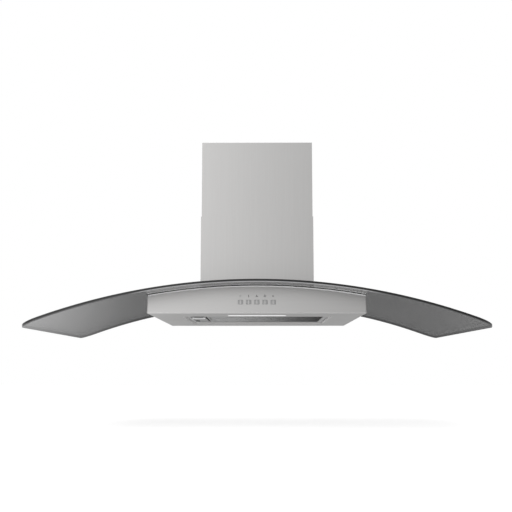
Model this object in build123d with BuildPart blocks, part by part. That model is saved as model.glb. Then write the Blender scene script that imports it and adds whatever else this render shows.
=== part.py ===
from build123d import *
import math
import os

# Island range hood with an arched glass plate, hung from the ceiling. Millimetres, +Z up.
# The origin is the centre of the ceiling plate's upper face. X is the width and the buttons face -Y.

# Overall sizes
GLASS_WIDTH = 900.0
GLASS_DEPTH = 600.0
GLASS_DROP = 313.8  # from the ceiling down to the top of the glass arch
GLASS_RADIUS = 1234.0  # of the upper face of the glass
GLASS_THICKNESS = 6.0
GLASS_CORNER = 36.0
BODY_WIDTH = 430.0
BODY_DEPTH = 477.0
BODY_FRONT = 51.7  # height of the body's front at the middle
GASKET_THICKNESS = 3.8
SHEET = 1.0  # stainless sheet of body, panel and chimney
ARCH_REACH = 400.0  # taller than any slab cut from the arch
OPEN_END = 50.0  # how far a through cut runs past what it cuts

# Body
BODY_CORNER = 2.5
BODY_BEND = 1.6
BEND_GAP = 0.5  # between the panel's rim and the body's walls
RETURN_FLANGE = 6.0
PANEL_SEAM = 0.3  # between the panel and the body's return flange
GASKET_WIDTH = 10.0
GASKET_INSET = 1.2

# Chimney
CHIMNEY_WIDTH = 238.0  # lower section, outside
CHIMNEY_SLIP = 0.3  # gap between the sections
LOWER_CHIMNEY_TOP = -162.0
UPPER_CHIMNEY_TOP = -1.0
UPPER_CHIMNEY_BOTTOM = -215.0
CHIMNEY_GLASS_GAP = 0.4
VENT_LENGTH = 34.0
VENT_WIDTH = 3.0
VENT_PITCH = 8.0
VENT_COUNT = 5
VENT_COLUMNS = 2
VENT_COLUMN_PITCH = 62.0
VENT_MIDDLE = -56.0

# Ceiling plate and rails
PLATE_THICKNESS = 2.5
PLATE_FLANGE = 25.0
PLATE_FLANGE_THICKNESS = 2.0
BOLT_SPACING = 184.0
BOLT_HOLE_RADIUS = 4.0
CABLE_HOLE_RADIUS = 10.0
DUCT_HOLE_RADIUS = 86.0
RAIL_LEG = 20.0
RAIL_THICKNESS = 2.0
RAIL_CHIMNEY_GAP = 1.7
RAIL_GAP = 0.3
PLATE_RAIL_GAP = 0.5
UPPER_RAIL_BOTTOM = -156.0
LOWER_RAIL_TOP = -70.0
SCREW_HEAD_RADIUS = 3.5
SCREW_HEAD_HEIGHT = 1.3
SCREW_RADIUS = 2.0
SCREW_HOLE_GAP = 0.15
FRAME_SCREW_END = 3.0  # how far a frame screw runs past the sheets that it joins
CHIMNEY_SCREW_LENGTH = 8.0
BOX_SCREW_LENGTH = 4.5
BOX_SCREW_GAP = 0.5  # under the flange's slope, so that the flat head seats
PLATE_SCREW_Z = -15.0
JOIN_SCREW_Z = (-85.0, -145.0)
LID_SCREW_DROP = 12.0
CHIMNEY_SCREW_Z = -13.0
CHIMNEY_SCREW_Y = 30.0
CHIMNEY_PAD_GAP = 0.2

# Motor box
BOX_WIDTH = 190.0
BOX_WALL = 1.2
BOX_FLANGE = 12.0
BOX_CLEARANCE = 1.0
LID_TOP = -150.5
LID_THICKNESS = 1.5
LID_FLANGE = 22.0
LID_RAIL_GAP = 0.2
GLASS_HOLE_GAP = 4.0
GLASS_HOLE_CORNER = 12.0
CLAMP_THICKNESS = 2.5
CLAMP_LEG = 16.0
CLAMP_HEIGHT = 20.0
CLAMP_WALL = 1.5
CLAMP_GAP = 0.2
CLAMP_SCREW_X = 60.0
CLAMP_SCREW_RISE = 12.0  # above the top of the glass
CLAMP_SCREW_SHORT = 0.05  # how far the screw stops short of the motor box

# Fan
FAN_Y = -8.0
FAN_Z = -245.0
VOLUTE_START_RADIUS = 67.0
VOLUTE_END_RADIUS = 88.0
VOLUTE_START_ANGLE = 94.0
VOLUTE_POINTS = 12
VOLUTE_WIDTH = 100.0
VOLUTE_WALL = 1.2
IMPELLER_RADIUS = 61.5
IMPELLER_WIDTH = 84.0
BLADE_LENGTH = 12.0
BLADE_THICKNESS = 0.9
BLADE_TILT = 32.0
BLADE_COUNT = 36
IMPELLER_RING_WIDTH = 7.0
IMPELLER_RING_THICKNESS = 2.0
IMPELLER_DISC_THICKNESS = 2.4
SHAFT_END_INSET = 1.0
HUB_RADIUS = 10.0
HUB_LENGTH = 20.0
INLET_RADIUS = 50.0
INLET_COLLAR_DEPTH = 5.0
SHAFT_RADIUS = 4.0
SHAFT_RUNNING_GAP = 0.03
MOTOR_RADIUS = 38.0
MOTOR_START = 8.0
MOTOR_END = 57.0
MOTOR_WALL = 2.0
BEARING_RADIUS = 9.0
BEARING_LENGTH = 7.0
BEARING_BOSS = 3.0
STATOR_INNER_RADIUS = 20.0
STATOR_LENGTH = 26.0
STATOR_CASE_GAP = 0.2
ROTOR_AIR_GAP = 0.5
BRACKET_THICKNESS = 3.0
BRACKET_HUB_RADIUS = 24.0
BRACKET_ARM_WIDTH = 14.0
BRACKET_ARMS = 3
MOUNT_CIRCLE_RADIUS = 62.0
MOUNT_RADIUS = 6.0

# Outlet
OUTLET_RADIUS = 74.5
OUTLET_WALL = 2.0
OUTLET_TOP = -75.0
OUTLET_THROAT_HEIGHT = 28.0
OUTLET_BASE_MARGIN = 8.0
OUTLET_BASE_THICKNESS = 2.0
DAMPER_Z = -97.0
DAMPER_PIN_RADIUS = 1.5
DAMPER_PIN_GAP = 0.05
DAMPER_KNUCKLE_RADIUS = 3.5
DAMPER_THICKNESS = 1.2
DAMPER_EDGE_GAP = 1.0
DAMPER_INNER_EDGE = 4.4
DAMPER_KNUCKLE_LENGTH = 14.0
DAMPER_KNUCKLE_PITCH = 18.0
DAMPER_STOP_WIDTH = 3.0
DAMPER_STOP_GAP = 0.3
DAMPER_STOP_THICKNESS = 2.0

# Filter and latch
FILTER_WIDTH = 307.0
FILTER_DEPTH = 288.5
FILTER_Y = 14.2
FILTER_RECESS = 4.5  # the filter's underside above the panel's
FILTER_THICKNESS = 11.0
FILTER_GAP = 1.5
FILTER_WALL = 1.2
FILTER_CORNER = 6.0
FILTER_BEND = 1.8
FILTER_BORDER = 8.0
FILTER_RIGHT_BORDER = 11.0
FILTER_TOP_FLANGE = 9.0
PANEL_FLANGE_RISE = 2.0  # the panel's upright edge above the filter's underside
LATCH_BORDER = 46.5  # from the filter's left edge to the mesh
FILTER_LAYER_GAP = 0.3
FILTER_LAYER_LAP = 1.5  # how far a layer rests on the strip beside the latch
MESH_THICKNESS = 0.8
LATCH_WIDTH = 37.0
LATCH_LENGTH = 190.0
LATCH_LEFT = 7.5  # from the filter's left edge to the latch cup
LATCH_Y = 20.8  # from the filter's middle
LATCH_WALL = 1.2
LATCH_CUP_GAP = 0.2
LATCH_CUP_DEPTH = 9.4
LATCH_GAP = 0.4
LATCH_TRAVEL = 4.5
LATCH_POCKET = 43.0  # clear length in front of the finger bar
LATCH_BAR_DEPTH = 10.0
LATCH_BAR_DROP = 2.0  # below the filter's underside
LATCH_BAR_HEIGHT = 2.6
LATCH_ARM_WIDTH = 4.0
LATCH_ARM_LENGTH = 20.0  # from the bar's front to the plate
LATCH_PLATE_RECESS = 0.8
LATCH_PLATE_THICKNESS = 1.8
LATCH_TONGUE_WIDTH = 12.0
LATCH_TONGUE_THICKNESS = 2.4
LATCH_TONGUE_REACH = 4.0
LATCH_TONGUE_PITCH = 80.0
LATCH_TONGUE_Y = 30.0  # the tongues' middle from the latch's middle
LATCH_KNOB_RADIUS = 4.6
LATCH_KNOB_DROP = 3.4  # below the filter's underside
LATCH_KNOB_ROUND = 1.2
LATCH_KNOB_X = 5.2  # from the slide's left edge
LATCH_KNOB_Y = 60.0  # from the latch's middle
HINGE_INSET = 4.5
HINGE_HEIGHT = 4.0
HINGE_PIN_RADIUS = 1.5
HINGE_PIN_GAP = 0.05
HINGE_BRACKET_WIDTH = 9.0
HINGE_BRACKET_MARGIN = 4.5  # above the pin
HINGE_BRACKET_THICKNESS = 4.0
HINGE_BRACKET_GAP = 0.4

# Light
LIGHT_LENGTH = 117.5
LIGHT_WIDTH = 15.0
LIGHT_SHIFT = 4.525  # behind the middle of the space between the switches and the filter
LIGHT_PROUD = 0.5
LIGHT_EDGE_ROUND = 0.4
LIGHT_LIP = 3.0
LIGHT_LIP_THICKNESS = 1.2
LIGHT_HOLE_GAP = 0.3
LIGHT_HOUSING_HEIGHT = 14.0
LIGHT_HOUSING_WALL = 1.2
LIGHT_HOUSING_GAP = 0.3
LIGHT_BOARD_INSET = 2.0
LIGHT_BOARD_WIDTH = 13.0
BOARD_THICKNESS = 1.6
LED_COUNT = 9
LED_SIZE = 4.0
LED_HEIGHT = 1.0

# Buttons
BUTTON_COUNT = 5
BUTTON_PITCH = 16.0
BUTTON_WIDTH = 9.5
BUTTON_HEIGHT = 8.2
BUTTON_RISE = 21.9  # centre above the body's underside
BUTTON_PROUD = 2.2
BUTTON_GAP = 0.25
BUTTON_CORNER = 1.0
BUTTON_EDGE_ROUND = 0.5
BUTTON_FLANGE = 1.0
BUTTON_FLANGE_GAP = 0.3
BUTTON_STEM = 4.0
BUTTON_STEM_GAP = 0.3
BUTTON_TRAVEL = 1.5
SWITCH_GAP = 0.3
SWITCH_SIZE = 6.0
SWITCH_HEIGHT = 4.0
SWITCH_HOUSING_WIDTH = 98.0
SWITCH_HOUSING_HEIGHT = 24.0
SWITCH_HOUSING_DEPTH = 24.0
SWITCH_HOUSING_WALL = 1.5
SWITCH_GUIDE_DEPTH = 5.5
SWITCH_BOARD_GAP = 0.3

# Electrics
JUNCTION_SIZE = (34.0, 92.0, 25.0)
JUNCTION_WALL = 1.5
JUNCTION_LID_GAP = 0.2
JUNCTION_Y = -95.0
ELECTRICS_INSET = 27.0  # from the body's side to the middle of what stands beside the filter
DRIVER_SIZE = (34.0, 84.0, 20.0)
DRIVER_CORNER = 2.0
SOFT_EDGE = 1.5  # round on the edges of driver and capacitor
CAPACITOR_RADIUS = 13.0
CAPACITOR_LENGTH = 54.0
CAPACITOR_Y = 20.0
GLAND_PLACE = (-66.0, -80.0)
GLAND_RADIUS = 10.0
GLAND_NUT_RADIUS = 11.0
GLAND_NECK_RADIUS = 8.0
GLAND_TOP_ROUND = 2.0
GLAND_BORE_RADIUS = 4.2
GLAND_HEIGHT = 16.0
GLAND_NUT_HEIGHT = 5.0

# Places worked out from the sizes
ARCH_CENTRE = -GLASS_DROP - GLASS_RADIUS
BODY_RADIUS = GLASS_RADIUS - GLASS_THICKNESS - GASKET_THICKNESS
BODY_BOTTOM = ARCH_CENTRE + BODY_RADIUS - BODY_FRONT
BODY_FRONT_Y = -BODY_DEPTH / 2
PANEL_TOP = BODY_BOTTOM + SHEET
UPPER_CHIMNEY_WIDTH = CHIMNEY_WIDTH - 2 * SHEET - 2 * CHIMNEY_SLIP
RAIL_OUT = UPPER_CHIMNEY_WIDTH / 2 - SHEET - RAIL_CHIMNEY_GAP
LOWER_RAIL_OUT = RAIL_OUT - RAIL_THICKNESS - RAIL_GAP
PLATE_WIDTH = 2 * (RAIL_OUT - RAIL_THICKNESS - PLATE_RAIL_GAP)
LID_WIDTH = 2 * (LOWER_RAIL_OUT - RAIL_THICKNESS - LID_RAIL_GAP)
LOWER_RAIL_BOTTOM = LID_TOP - LID_FLANGE
LID_SCREW_Z = LID_TOP - LID_SCREW_DROP
LID_BOTTOM = LID_TOP - LID_THICKNESS
SCREW_HOLE_RADIUS = SCREW_RADIUS + SCREW_HOLE_GAP
RAIL_SCREW_X = RAIL_OUT - RAIL_LEG / 2
FLANGE_SCREW = BOX_WIDTH / 2 + BOX_FLANGE / 2
VOLUTE_LEFT = FAN_Y + VOLUTE_START_RADIUS * math.cos(math.radians(VOLUTE_START_ANGLE))
VOLUTE_RIGHT = FAN_Y + VOLUTE_END_RADIUS
OUTLET_HOLE = (VOLUTE_WIDTH - 2 * VOLUTE_WALL, VOLUTE_RIGHT - VOLUTE_LEFT - 2 * VOLUTE_WALL)
OUTLET_HOLE_Y = (VOLUTE_LEFT + VOLUTE_RIGHT) / 2
OUTLET_INNER_RADIUS = OUTLET_RADIUS - OUTLET_WALL
DAMPER_RADIUS = OUTLET_INNER_RADIUS - DAMPER_EDGE_GAP
PLATE_SIDE_X = VOLUTE_WIDTH / 2 + VOLUTE_WALL
FILTER_LOW = BODY_BOTTOM + FILTER_RECESS
PANEL_FLANGE_TOP = FILTER_LOW + PANEL_FLANGE_RISE
FILTER_OPENING = (FILTER_WIDTH + 2 * FILTER_GAP, FILTER_DEPTH + 2 * FILTER_GAP)
HINGE_X = FILTER_WIDTH / 2 - HINGE_INSET
HINGE_Z = FILTER_LOW + HINGE_HEIGHT
MESH_LEFT = -FILTER_WIDTH / 2 + LATCH_BORDER
MESH_RIGHT = FILTER_WIDTH / 2 - FILTER_RIGHT_BORDER
MESH_X = (MESH_LEFT + MESH_RIGHT) / 2
MESH_OPENING = (MESH_RIGHT - MESH_LEFT, FILTER_DEPTH - 2 * FILTER_BORDER)
LATCH_PLACE = (-FILTER_WIDTH / 2 + LATCH_LEFT + LATCH_WIDTH / 2, FILTER_Y + LATCH_Y)
LATCH_CUP_SIDE = LATCH_CUP_GAP + LATCH_WALL
LATCH_CUP_INNER = (LATCH_WIDTH / 2 - LATCH_CUP_SIDE, LATCH_LENGTH / 2 - LATCH_CUP_SIDE)
LATCH_SLIDE_LEFT = LATCH_PLACE[0] - LATCH_CUP_INNER[0] + LATCH_GAP
LATCH_SLIDE_RIGHT = LATCH_PLACE[0] + LATCH_CUP_INNER[0] - LATCH_GAP - LATCH_TRAVEL
LATCH_TONGUE_Z = PANEL_FLANGE_TOP + LATCH_GAP
LATCH_SLOT = (LATCH_TONGUE_WIDTH + 2 * LATCH_GAP, LATCH_TONGUE_THICKNESS + 2 * LATCH_GAP)
LATCH_SLOT_PLACE = (LATCH_PLACE[1] + LATCH_TONGUE_Y, LATCH_TONGUE_Z + LATCH_TONGUE_THICKNESS / 2)
BUTTON_Z = BODY_BOTTOM + BUTTON_RISE
WALL_INSIDE_Y = BODY_FRONT_Y + SHEET
STEM_END_Y = WALL_INSIDE_Y + SWITCH_HOUSING_DEPTH - SWITCH_HOUSING_WALL - BOARD_THICKNESS
STEM_END_Y -= SWITCH_HEIGHT + BUTTON_TRAVEL + SWITCH_GAP
LIGHT_SPACE = (WALL_INSIDE_Y + SWITCH_HOUSING_DEPTH, FILTER_Y - FILTER_OPENING[1] / 2)
LIGHT_Y = (LIGHT_SPACE[0] + LIGHT_SPACE[1]) / 2 + LIGHT_SHIFT
ELECTRICS_X = BODY_WIDTH / 2 - ELECTRICS_INSET

CORNERS = {"front_left": (-1, -1), "front_right": (1, -1), "rear_left": (-1, 1), "rear_right": (1, 1)}


def save(piece, name):
    """Labels one finished piece and writes it to its own file."""
    piece.label = name
    export_step(piece, f"parts/{name}.step")


def arched_slab(top_radius, thickness, width, depth):
    """A slab between two arcs that share the centre of the glass arch."""
    with BuildPart() as slab:
        with BuildSketch(Plane.XZ):
            with Locations((0, ARCH_CENTRE)):
                Circle(top_radius)
                Circle(top_radius - thickness, mode=Mode.SUBTRACT)
            with Locations((0, ARCH_CENTRE + top_radius)):
                Rectangle(width, ARCH_REACH, mode=Mode.INTERSECT)
        extrude(amount=depth / 2, both=True)
    return slab.part


def below_arch(radius, width, depth):
    """Everything under an arc of the glass arch, as a cutting block."""
    return arched_slab(radius, ARCH_REACH / 2, width, depth)


def square_tube(width, wall, bottom, top):
    """A square tube standing upright about the hood's centre line."""
    with BuildPart() as tube:
        with BuildSketch(Plane.XY.offset(bottom)):
            Rectangle(width, width)
            Rectangle(width - 2 * wall, width - 2 * wall, mode=Mode.SUBTRACT)
        extrude(amount=top - bottom)
    return tube.part


def body_block(inset, bottom):
    """The body's outer form, shrunk all round by the inset."""
    radius = BODY_RADIUS - inset
    rise = ARCH_CENTRE + radius - bottom
    with BuildPart() as block:
        with BuildSketch(Plane.XZ):
            with Locations((0, ARCH_CENTRE)):
                Circle(radius)
            with Locations((0, bottom + rise / 2)):
                Rectangle(BODY_WIDTH - 2 * inset, rise, mode=Mode.INTERSECT)
        extrude(amount=BODY_DEPTH / 2 - inset, both=True)
        fillet(block.edges().filter_by(Axis.Z), BODY_CORNER - inset)
    return block.part


def pan_screws(places, direction, length):
    """A group of pan-head screws. Each place is under the head, and the shank runs along direction."""
    with BuildPart() as screws:
        for place in places:
            seat = Plane(origin=place, z_dir=direction)
            with BuildSketch(seat):
                Circle(SCREW_RADIUS)
            extrude(amount=length)
            with BuildSketch(seat):
                Circle(SCREW_HEAD_RADIUS)
            extrude(amount=-SCREW_HEAD_HEIGHT)
    return screws.part


def ceiling_plate():
    """Flat plate with down-turned edges, holes for duct, cable and bolts, and pads for the chimney."""
    half = PLATE_WIDTH / 2
    pad_thickness = UPPER_CHIMNEY_WIDTH / 2 - SHEET - CHIMNEY_PAD_GAP - half
    edges = square_tube(PLATE_WIDTH, PLATE_FLANGE_THICKNESS, -PLATE_FLANGE, -PLATE_THICKNESS)
    with BuildPart() as plate:
        with BuildSketch(Plane.XY.offset(-PLATE_THICKNESS)):
            Rectangle(PLATE_WIDTH, PLATE_WIDTH)
            Circle(DUCT_HOLE_RADIUS, mode=Mode.SUBTRACT)
            with GridLocations(BOLT_SPACING, BOLT_SPACING, 2, 2):
                Circle(BOLT_HOLE_RADIUS, mode=Mode.SUBTRACT)
            with Locations(GLAND_PLACE):
                Circle(CABLE_HOLE_RADIUS, mode=Mode.SUBTRACT)
        extrude(amount=PLATE_THICKNESS)
        add(edges)
        for side in (-1, 1):
            for y in (-CHIMNEY_SCREW_Y, CHIMNEY_SCREW_Y):
                with Locations((side * (half + pad_thickness / 2), y, CHIMNEY_SCREW_Z)):
                    Box(pad_thickness, 4 * SCREW_HEAD_RADIUS, 4 * SCREW_HEAD_RADIUS)
        with BuildSketch(Plane.YZ):
            with Locations((-CHIMNEY_SCREW_Y, CHIMNEY_SCREW_Z), (CHIMNEY_SCREW_Y, CHIMNEY_SCREW_Z)):
                Circle(SCREW_HOLE_RADIUS)
        extrude(amount=half + OPEN_END, both=True, mode=Mode.SUBTRACT)
        with BuildSketch(Plane.XZ):
            with Locations((-RAIL_SCREW_X, PLATE_SCREW_Z), (RAIL_SCREW_X, PLATE_SCREW_Z)):
                Circle(SCREW_HOLE_RADIUS)
        extrude(amount=half + OPEN_END, both=True, mode=Mode.SUBTRACT)
    return plate.part


def corner_rail(corner, out, bottom, top, hole_heights):
    """An angle rail standing in one corner, drilled along Y for its screws."""
    side_x, side_y = corner
    inner = RAIL_LEG - RAIL_THICKNESS
    with BuildPart() as rail:
        with BuildSketch(Plane.XY.offset(bottom)):
            with Locations((side_x * (out - RAIL_LEG / 2), side_y * (out - RAIL_LEG / 2))):
                Rectangle(RAIL_LEG, RAIL_LEG)
            shift = RAIL_THICKNESS + inner / 2
            with Locations((side_x * (out - shift), side_y * (out - shift))):
                Rectangle(inner, inner, mode=Mode.SUBTRACT)
        extrude(amount=top - bottom)
        with BuildSketch(Plane.XZ):
            for height in hole_heights:
                with Locations((side_x * RAIL_SCREW_X, height)):
                    Circle(SCREW_HOLE_RADIUS)
        extrude(amount=out + OPEN_END, both=True, mode=Mode.SUBTRACT)
    return rail.part


def frame_screws():
    """The screws that join plate, rails and lid. All run along Y."""
    upper = RAIL_OUT
    lower = LOWER_RAIL_OUT
    rows = [(PLATE_SCREW_Z, upper)]
    rows += [(height, upper) for height in JOIN_SCREW_Z]
    rows += [(LID_SCREW_Z, lower)]
    length = RAIL_THICKNESS * 2 + RAIL_GAP + FRAME_SCREW_END
    groups = []
    for side in (-1, 1):
        places = [(x * RAIL_SCREW_X, side * out, z) for z, out in rows for x in (-1, 1)]
        groups.append(pan_screws(places, (0, -side, 0), length))
    with BuildPart() as screws:
        add(groups)
    return screws.part


def upper_chimney():
    """Fixed upper tube of the chimney, with vent slots high on its two sides."""
    tube = square_tube(UPPER_CHIMNEY_WIDTH, SHEET, UPPER_CHIMNEY_BOTTOM, UPPER_CHIMNEY_TOP)
    with BuildPart() as chimney:
        add(tube)
        with BuildSketch(Plane.YZ):
            with Locations((0, VENT_MIDDLE)):
                with GridLocations(VENT_COLUMN_PITCH, VENT_PITCH, VENT_COLUMNS, VENT_COUNT):
                    SlotOverall(VENT_LENGTH, VENT_WIDTH)
            with Locations((-CHIMNEY_SCREW_Y, CHIMNEY_SCREW_Z), (CHIMNEY_SCREW_Y, CHIMNEY_SCREW_Z)):
                Circle(SCREW_HOLE_RADIUS)
        extrude(amount=CHIMNEY_WIDTH, both=True, mode=Mode.SUBTRACT)
    return chimney.part


def lower_chimney():
    """Sliding lower tube of the chimney, cut to the arch of the glass."""
    tube = square_tube(CHIMNEY_WIDTH, SHEET, -GLASS_DROP - OPEN_END, LOWER_CHIMNEY_TOP)
    floor = below_arch(GLASS_RADIUS + CHIMNEY_GLASS_GAP, 2 * CHIMNEY_WIDTH, 2 * CHIMNEY_WIDTH)
    with BuildPart() as chimney:
        add(tube)
        add(floor, mode=Mode.SUBTRACT)
    return chimney.part


def chimney_screws():
    """Two screws on each side that hold the upper chimney to the ceiling plate."""
    out = UPPER_CHIMNEY_WIDTH / 2
    groups = []
    for side in (-1, 1):
        places = [(side * out, y, CHIMNEY_SCREW_Z) for y in (-CHIMNEY_SCREW_Y, CHIMNEY_SCREW_Y)]
        groups.append(pan_screws(places, (-side, 0, 0), CHIMNEY_SCREW_LENGTH))
    with BuildPart() as screws:
        add(groups)
    return screws.part


def box_lid():
    """Square lid of the motor box. Its down-turned edges carry the lower rails."""
    edges = square_tube(LID_WIDTH, LID_THICKNESS, LID_TOP - LID_FLANGE, LID_BOTTOM)
    with BuildPart() as lid:
        with BuildSketch(Plane.XY.offset(LID_BOTTOM)):
            Rectangle(LID_WIDTH, LID_WIDTH)
            with Locations((0, OUTLET_HOLE_Y)):
                Rectangle(*OUTLET_HOLE, mode=Mode.SUBTRACT)
            with Locations(GLAND_PLACE):
                Circle(GLAND_NECK_RADIUS, mode=Mode.SUBTRACT)
        extrude(amount=LID_THICKNESS)
        add(edges)
        with BuildSketch(Plane.XZ):
            with Locations((-RAIL_SCREW_X, LID_SCREW_Z), (RAIL_SCREW_X, LID_SCREW_Z)):
                Circle(SCREW_HOLE_RADIUS)
        extrude(amount=LID_WIDTH, both=True, mode=Mode.SUBTRACT)
    return lid.part


def motor_box():
    """Square duct around the fan, with an arched flange under the body's top."""
    flange_radius = BODY_RADIUS - SHEET
    tube = square_tube(BOX_WIDTH, BOX_WALL, -GLASS_DROP - OPEN_END, LID_BOTTOM)
    floor = below_arch(flange_radius - BOX_WALL, 2 * BOX_WIDTH, 2 * BOX_WIDTH)
    flange_width = BOX_WIDTH + 2 * BOX_FLANGE
    flange = arched_slab(flange_radius, BOX_WALL, flange_width, flange_width)
    with BuildPart() as box:
        add(tube)
        add(floor, mode=Mode.SUBTRACT)
        add(flange)
        with BuildSketch(Plane.XY.offset(-GLASS_DROP - OPEN_END)):
            Rectangle(BOX_WIDTH - 2 * BOX_WALL, BOX_WIDTH - 2 * BOX_WALL)
        extrude(amount=2 * OPEN_END, mode=Mode.SUBTRACT)
        with BuildSketch(Plane.XY.offset(BODY_BOTTOM)):
            with GridLocations(2 * FLANGE_SCREW, 2 * FLANGE_SCREW, 2, 2):
                Circle(SCREW_HOLE_RADIUS)
        extrude(amount=GLASS_DROP, mode=Mode.SUBTRACT)
    return box.part


def box_screws():
    """Four screws up through the motor box's flange into the body's top."""
    flange_underside = BODY_RADIUS - SHEET - BOX_WALL
    height = ARCH_CENTRE + math.sqrt(flange_underside**2 - FLANGE_SCREW**2) - BOX_SCREW_GAP
    places = [(x * FLANGE_SCREW, y * FLANGE_SCREW, height) for x, y in CORNERS.values()]
    return pan_screws(places, (0, 0, 1), BOX_SCREW_LENGTH)


def glass_canopy():
    """Arched glass plate with rounded plan corners and a square hole for the motor box."""
    hole = BOX_WIDTH + 2 * GLASS_HOLE_GAP
    slab = arched_slab(GLASS_RADIUS, GLASS_THICKNESS, GLASS_WIDTH + OPEN_END, GLASS_DEPTH + OPEN_END)
    low = -GLASS_DROP - ARCH_REACH / 2
    with BuildPart() as glass:
        add(slab)
        with BuildSketch(Plane.XY.offset(low)):
            RectangleRounded(GLASS_WIDTH, GLASS_DEPTH, GLASS_CORNER)
            RectangleRounded(hole, hole, GLASS_HOLE_CORNER, mode=Mode.SUBTRACT)
        extrude(amount=ARCH_REACH / 2 + OPEN_END, mode=Mode.INTERSECT)
    return glass.part


def glass_gasket():
    """Rubber strips between body and glass: one round the edge and one round the hole."""
    outer = (BODY_WIDTH - 2 * GASKET_INSET, BODY_DEPTH - 2 * GASKET_INSET)
    inner = BOX_WIDTH + 2 * GLASS_HOLE_GAP
    slab = arched_slab(GLASS_RADIUS - GLASS_THICKNESS, GASKET_THICKNESS, BODY_WIDTH, BODY_DEPTH)
    low = -GLASS_DROP - ARCH_REACH / 2
    with BuildPart() as gasket:
        add(slab)
        with BuildSketch(Plane.XY.offset(low)):
            RectangleRounded(*outer, BODY_CORNER)
            Rectangle(outer[0] - 2 * GASKET_WIDTH, outer[1] - 2 * GASKET_WIDTH, mode=Mode.SUBTRACT)
            Rectangle(inner + 2 * GASKET_WIDTH, inner + 2 * GASKET_WIDTH)
            Rectangle(inner, inner, mode=Mode.SUBTRACT)
            with GridLocations(2 * FLANGE_SCREW, 2 * FLANGE_SCREW, 2, 2):
                Circle(SCREW_HOLE_RADIUS, mode=Mode.SUBTRACT)
        extrude(amount=ARCH_REACH / 2 + OPEN_END, mode=Mode.INTERSECT)
    return gasket.part


def glass_clamp():
    """Angle frame round the motor box that presses the glass onto its gasket."""
    inner = BOX_WIDTH + 2 * CLAMP_GAP
    outer = BOX_WIDTH + 2 * CLAMP_LEG
    foot = arched_slab(GLASS_RADIUS + CLAMP_THICKNESS, CLAMP_THICKNESS, outer, outer)
    top = -GLASS_DROP + CLAMP_HEIGHT
    wall = square_tube(inner + 2 * CLAMP_WALL, CLAMP_WALL, -GLASS_DROP - OPEN_END, top)
    under = below_arch(GLASS_RADIUS, 2 * outer, 2 * outer)
    with BuildPart() as clamp:
        add(wall)
        add(under, mode=Mode.SUBTRACT)
        add(foot)
        with BuildSketch(Plane.XY.offset(-GLASS_DROP - OPEN_END)):
            Rectangle(inner, inner)
        extrude(amount=2 * OPEN_END, mode=Mode.SUBTRACT)
        with BuildSketch(Plane.XZ):
            with Locations((0, -GLASS_DROP + CLAMP_SCREW_RISE)):
                with GridLocations(2 * CLAMP_SCREW_X, 1, 2, 1):
                    Circle(SCREW_HOLE_RADIUS)
        extrude(amount=outer, both=True, mode=Mode.SUBTRACT)
    return clamp.part


def clamp_screws():
    """Screws that hold the clamp frame to the motor box."""
    out = BOX_WIDTH / 2 + CLAMP_GAP + CLAMP_WALL
    height = -GLASS_DROP + CLAMP_SCREW_RISE
    length = CLAMP_GAP + CLAMP_WALL - CLAMP_SCREW_SHORT
    groups = []
    for side in (-1, 1):
        places = [(x, side * out, height) for x in (-CLAMP_SCREW_X, CLAMP_SCREW_X)]
        groups.append(pan_screws(places, (0, -side, 0), length))
    with BuildPart() as screws:
        add(groups)
    return screws.part


def canopy_body():
    """Welded stainless body: four walls, arched top and a narrow return flange underneath."""
    outside = body_block(0.0, BODY_BOTTOM)
    inside = body_block(SHEET, BODY_BOTTOM + SHEET)
    opening = BOX_WIDTH + 2 * BOX_CLEARANCE
    with BuildPart() as body:
        add(outside)
        fillet(body.faces().sort_by(Axis.Z)[0].edges(), BODY_BEND)
        add(inside, mode=Mode.SUBTRACT)
        with BuildSketch(Plane.XY.offset(BODY_BOTTOM)):
            Rectangle(BODY_WIDTH - 2 * RETURN_FLANGE, BODY_DEPTH - 2 * RETURN_FLANGE)
        extrude(amount=SHEET, mode=Mode.SUBTRACT)
        with BuildSketch(Plane.XY.offset(PANEL_TOP + SHEET)):
            Rectangle(opening, opening)
            with GridLocations(2 * FLANGE_SCREW, 2 * FLANGE_SCREW, 2, 2):
                Circle(SCREW_HOLE_RADIUS)
        extrude(amount=BODY_FRONT, mode=Mode.SUBTRACT)
        with BuildSketch(Plane.XZ.offset(-WALL_INSIDE_Y)):
            with Locations((0, BUTTON_Z)):
                with GridLocations(BUTTON_PITCH, 1, BUTTON_COUNT, 1):
                    corner = BUTTON_CORNER + BUTTON_GAP
                    RectangleRounded(BUTTON_WIDTH + 2 * BUTTON_GAP, BUTTON_HEIGHT + 2 * BUTTON_GAP, corner)
        extrude(amount=2 * SHEET, mode=Mode.SUBTRACT)
    return body.part


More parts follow.
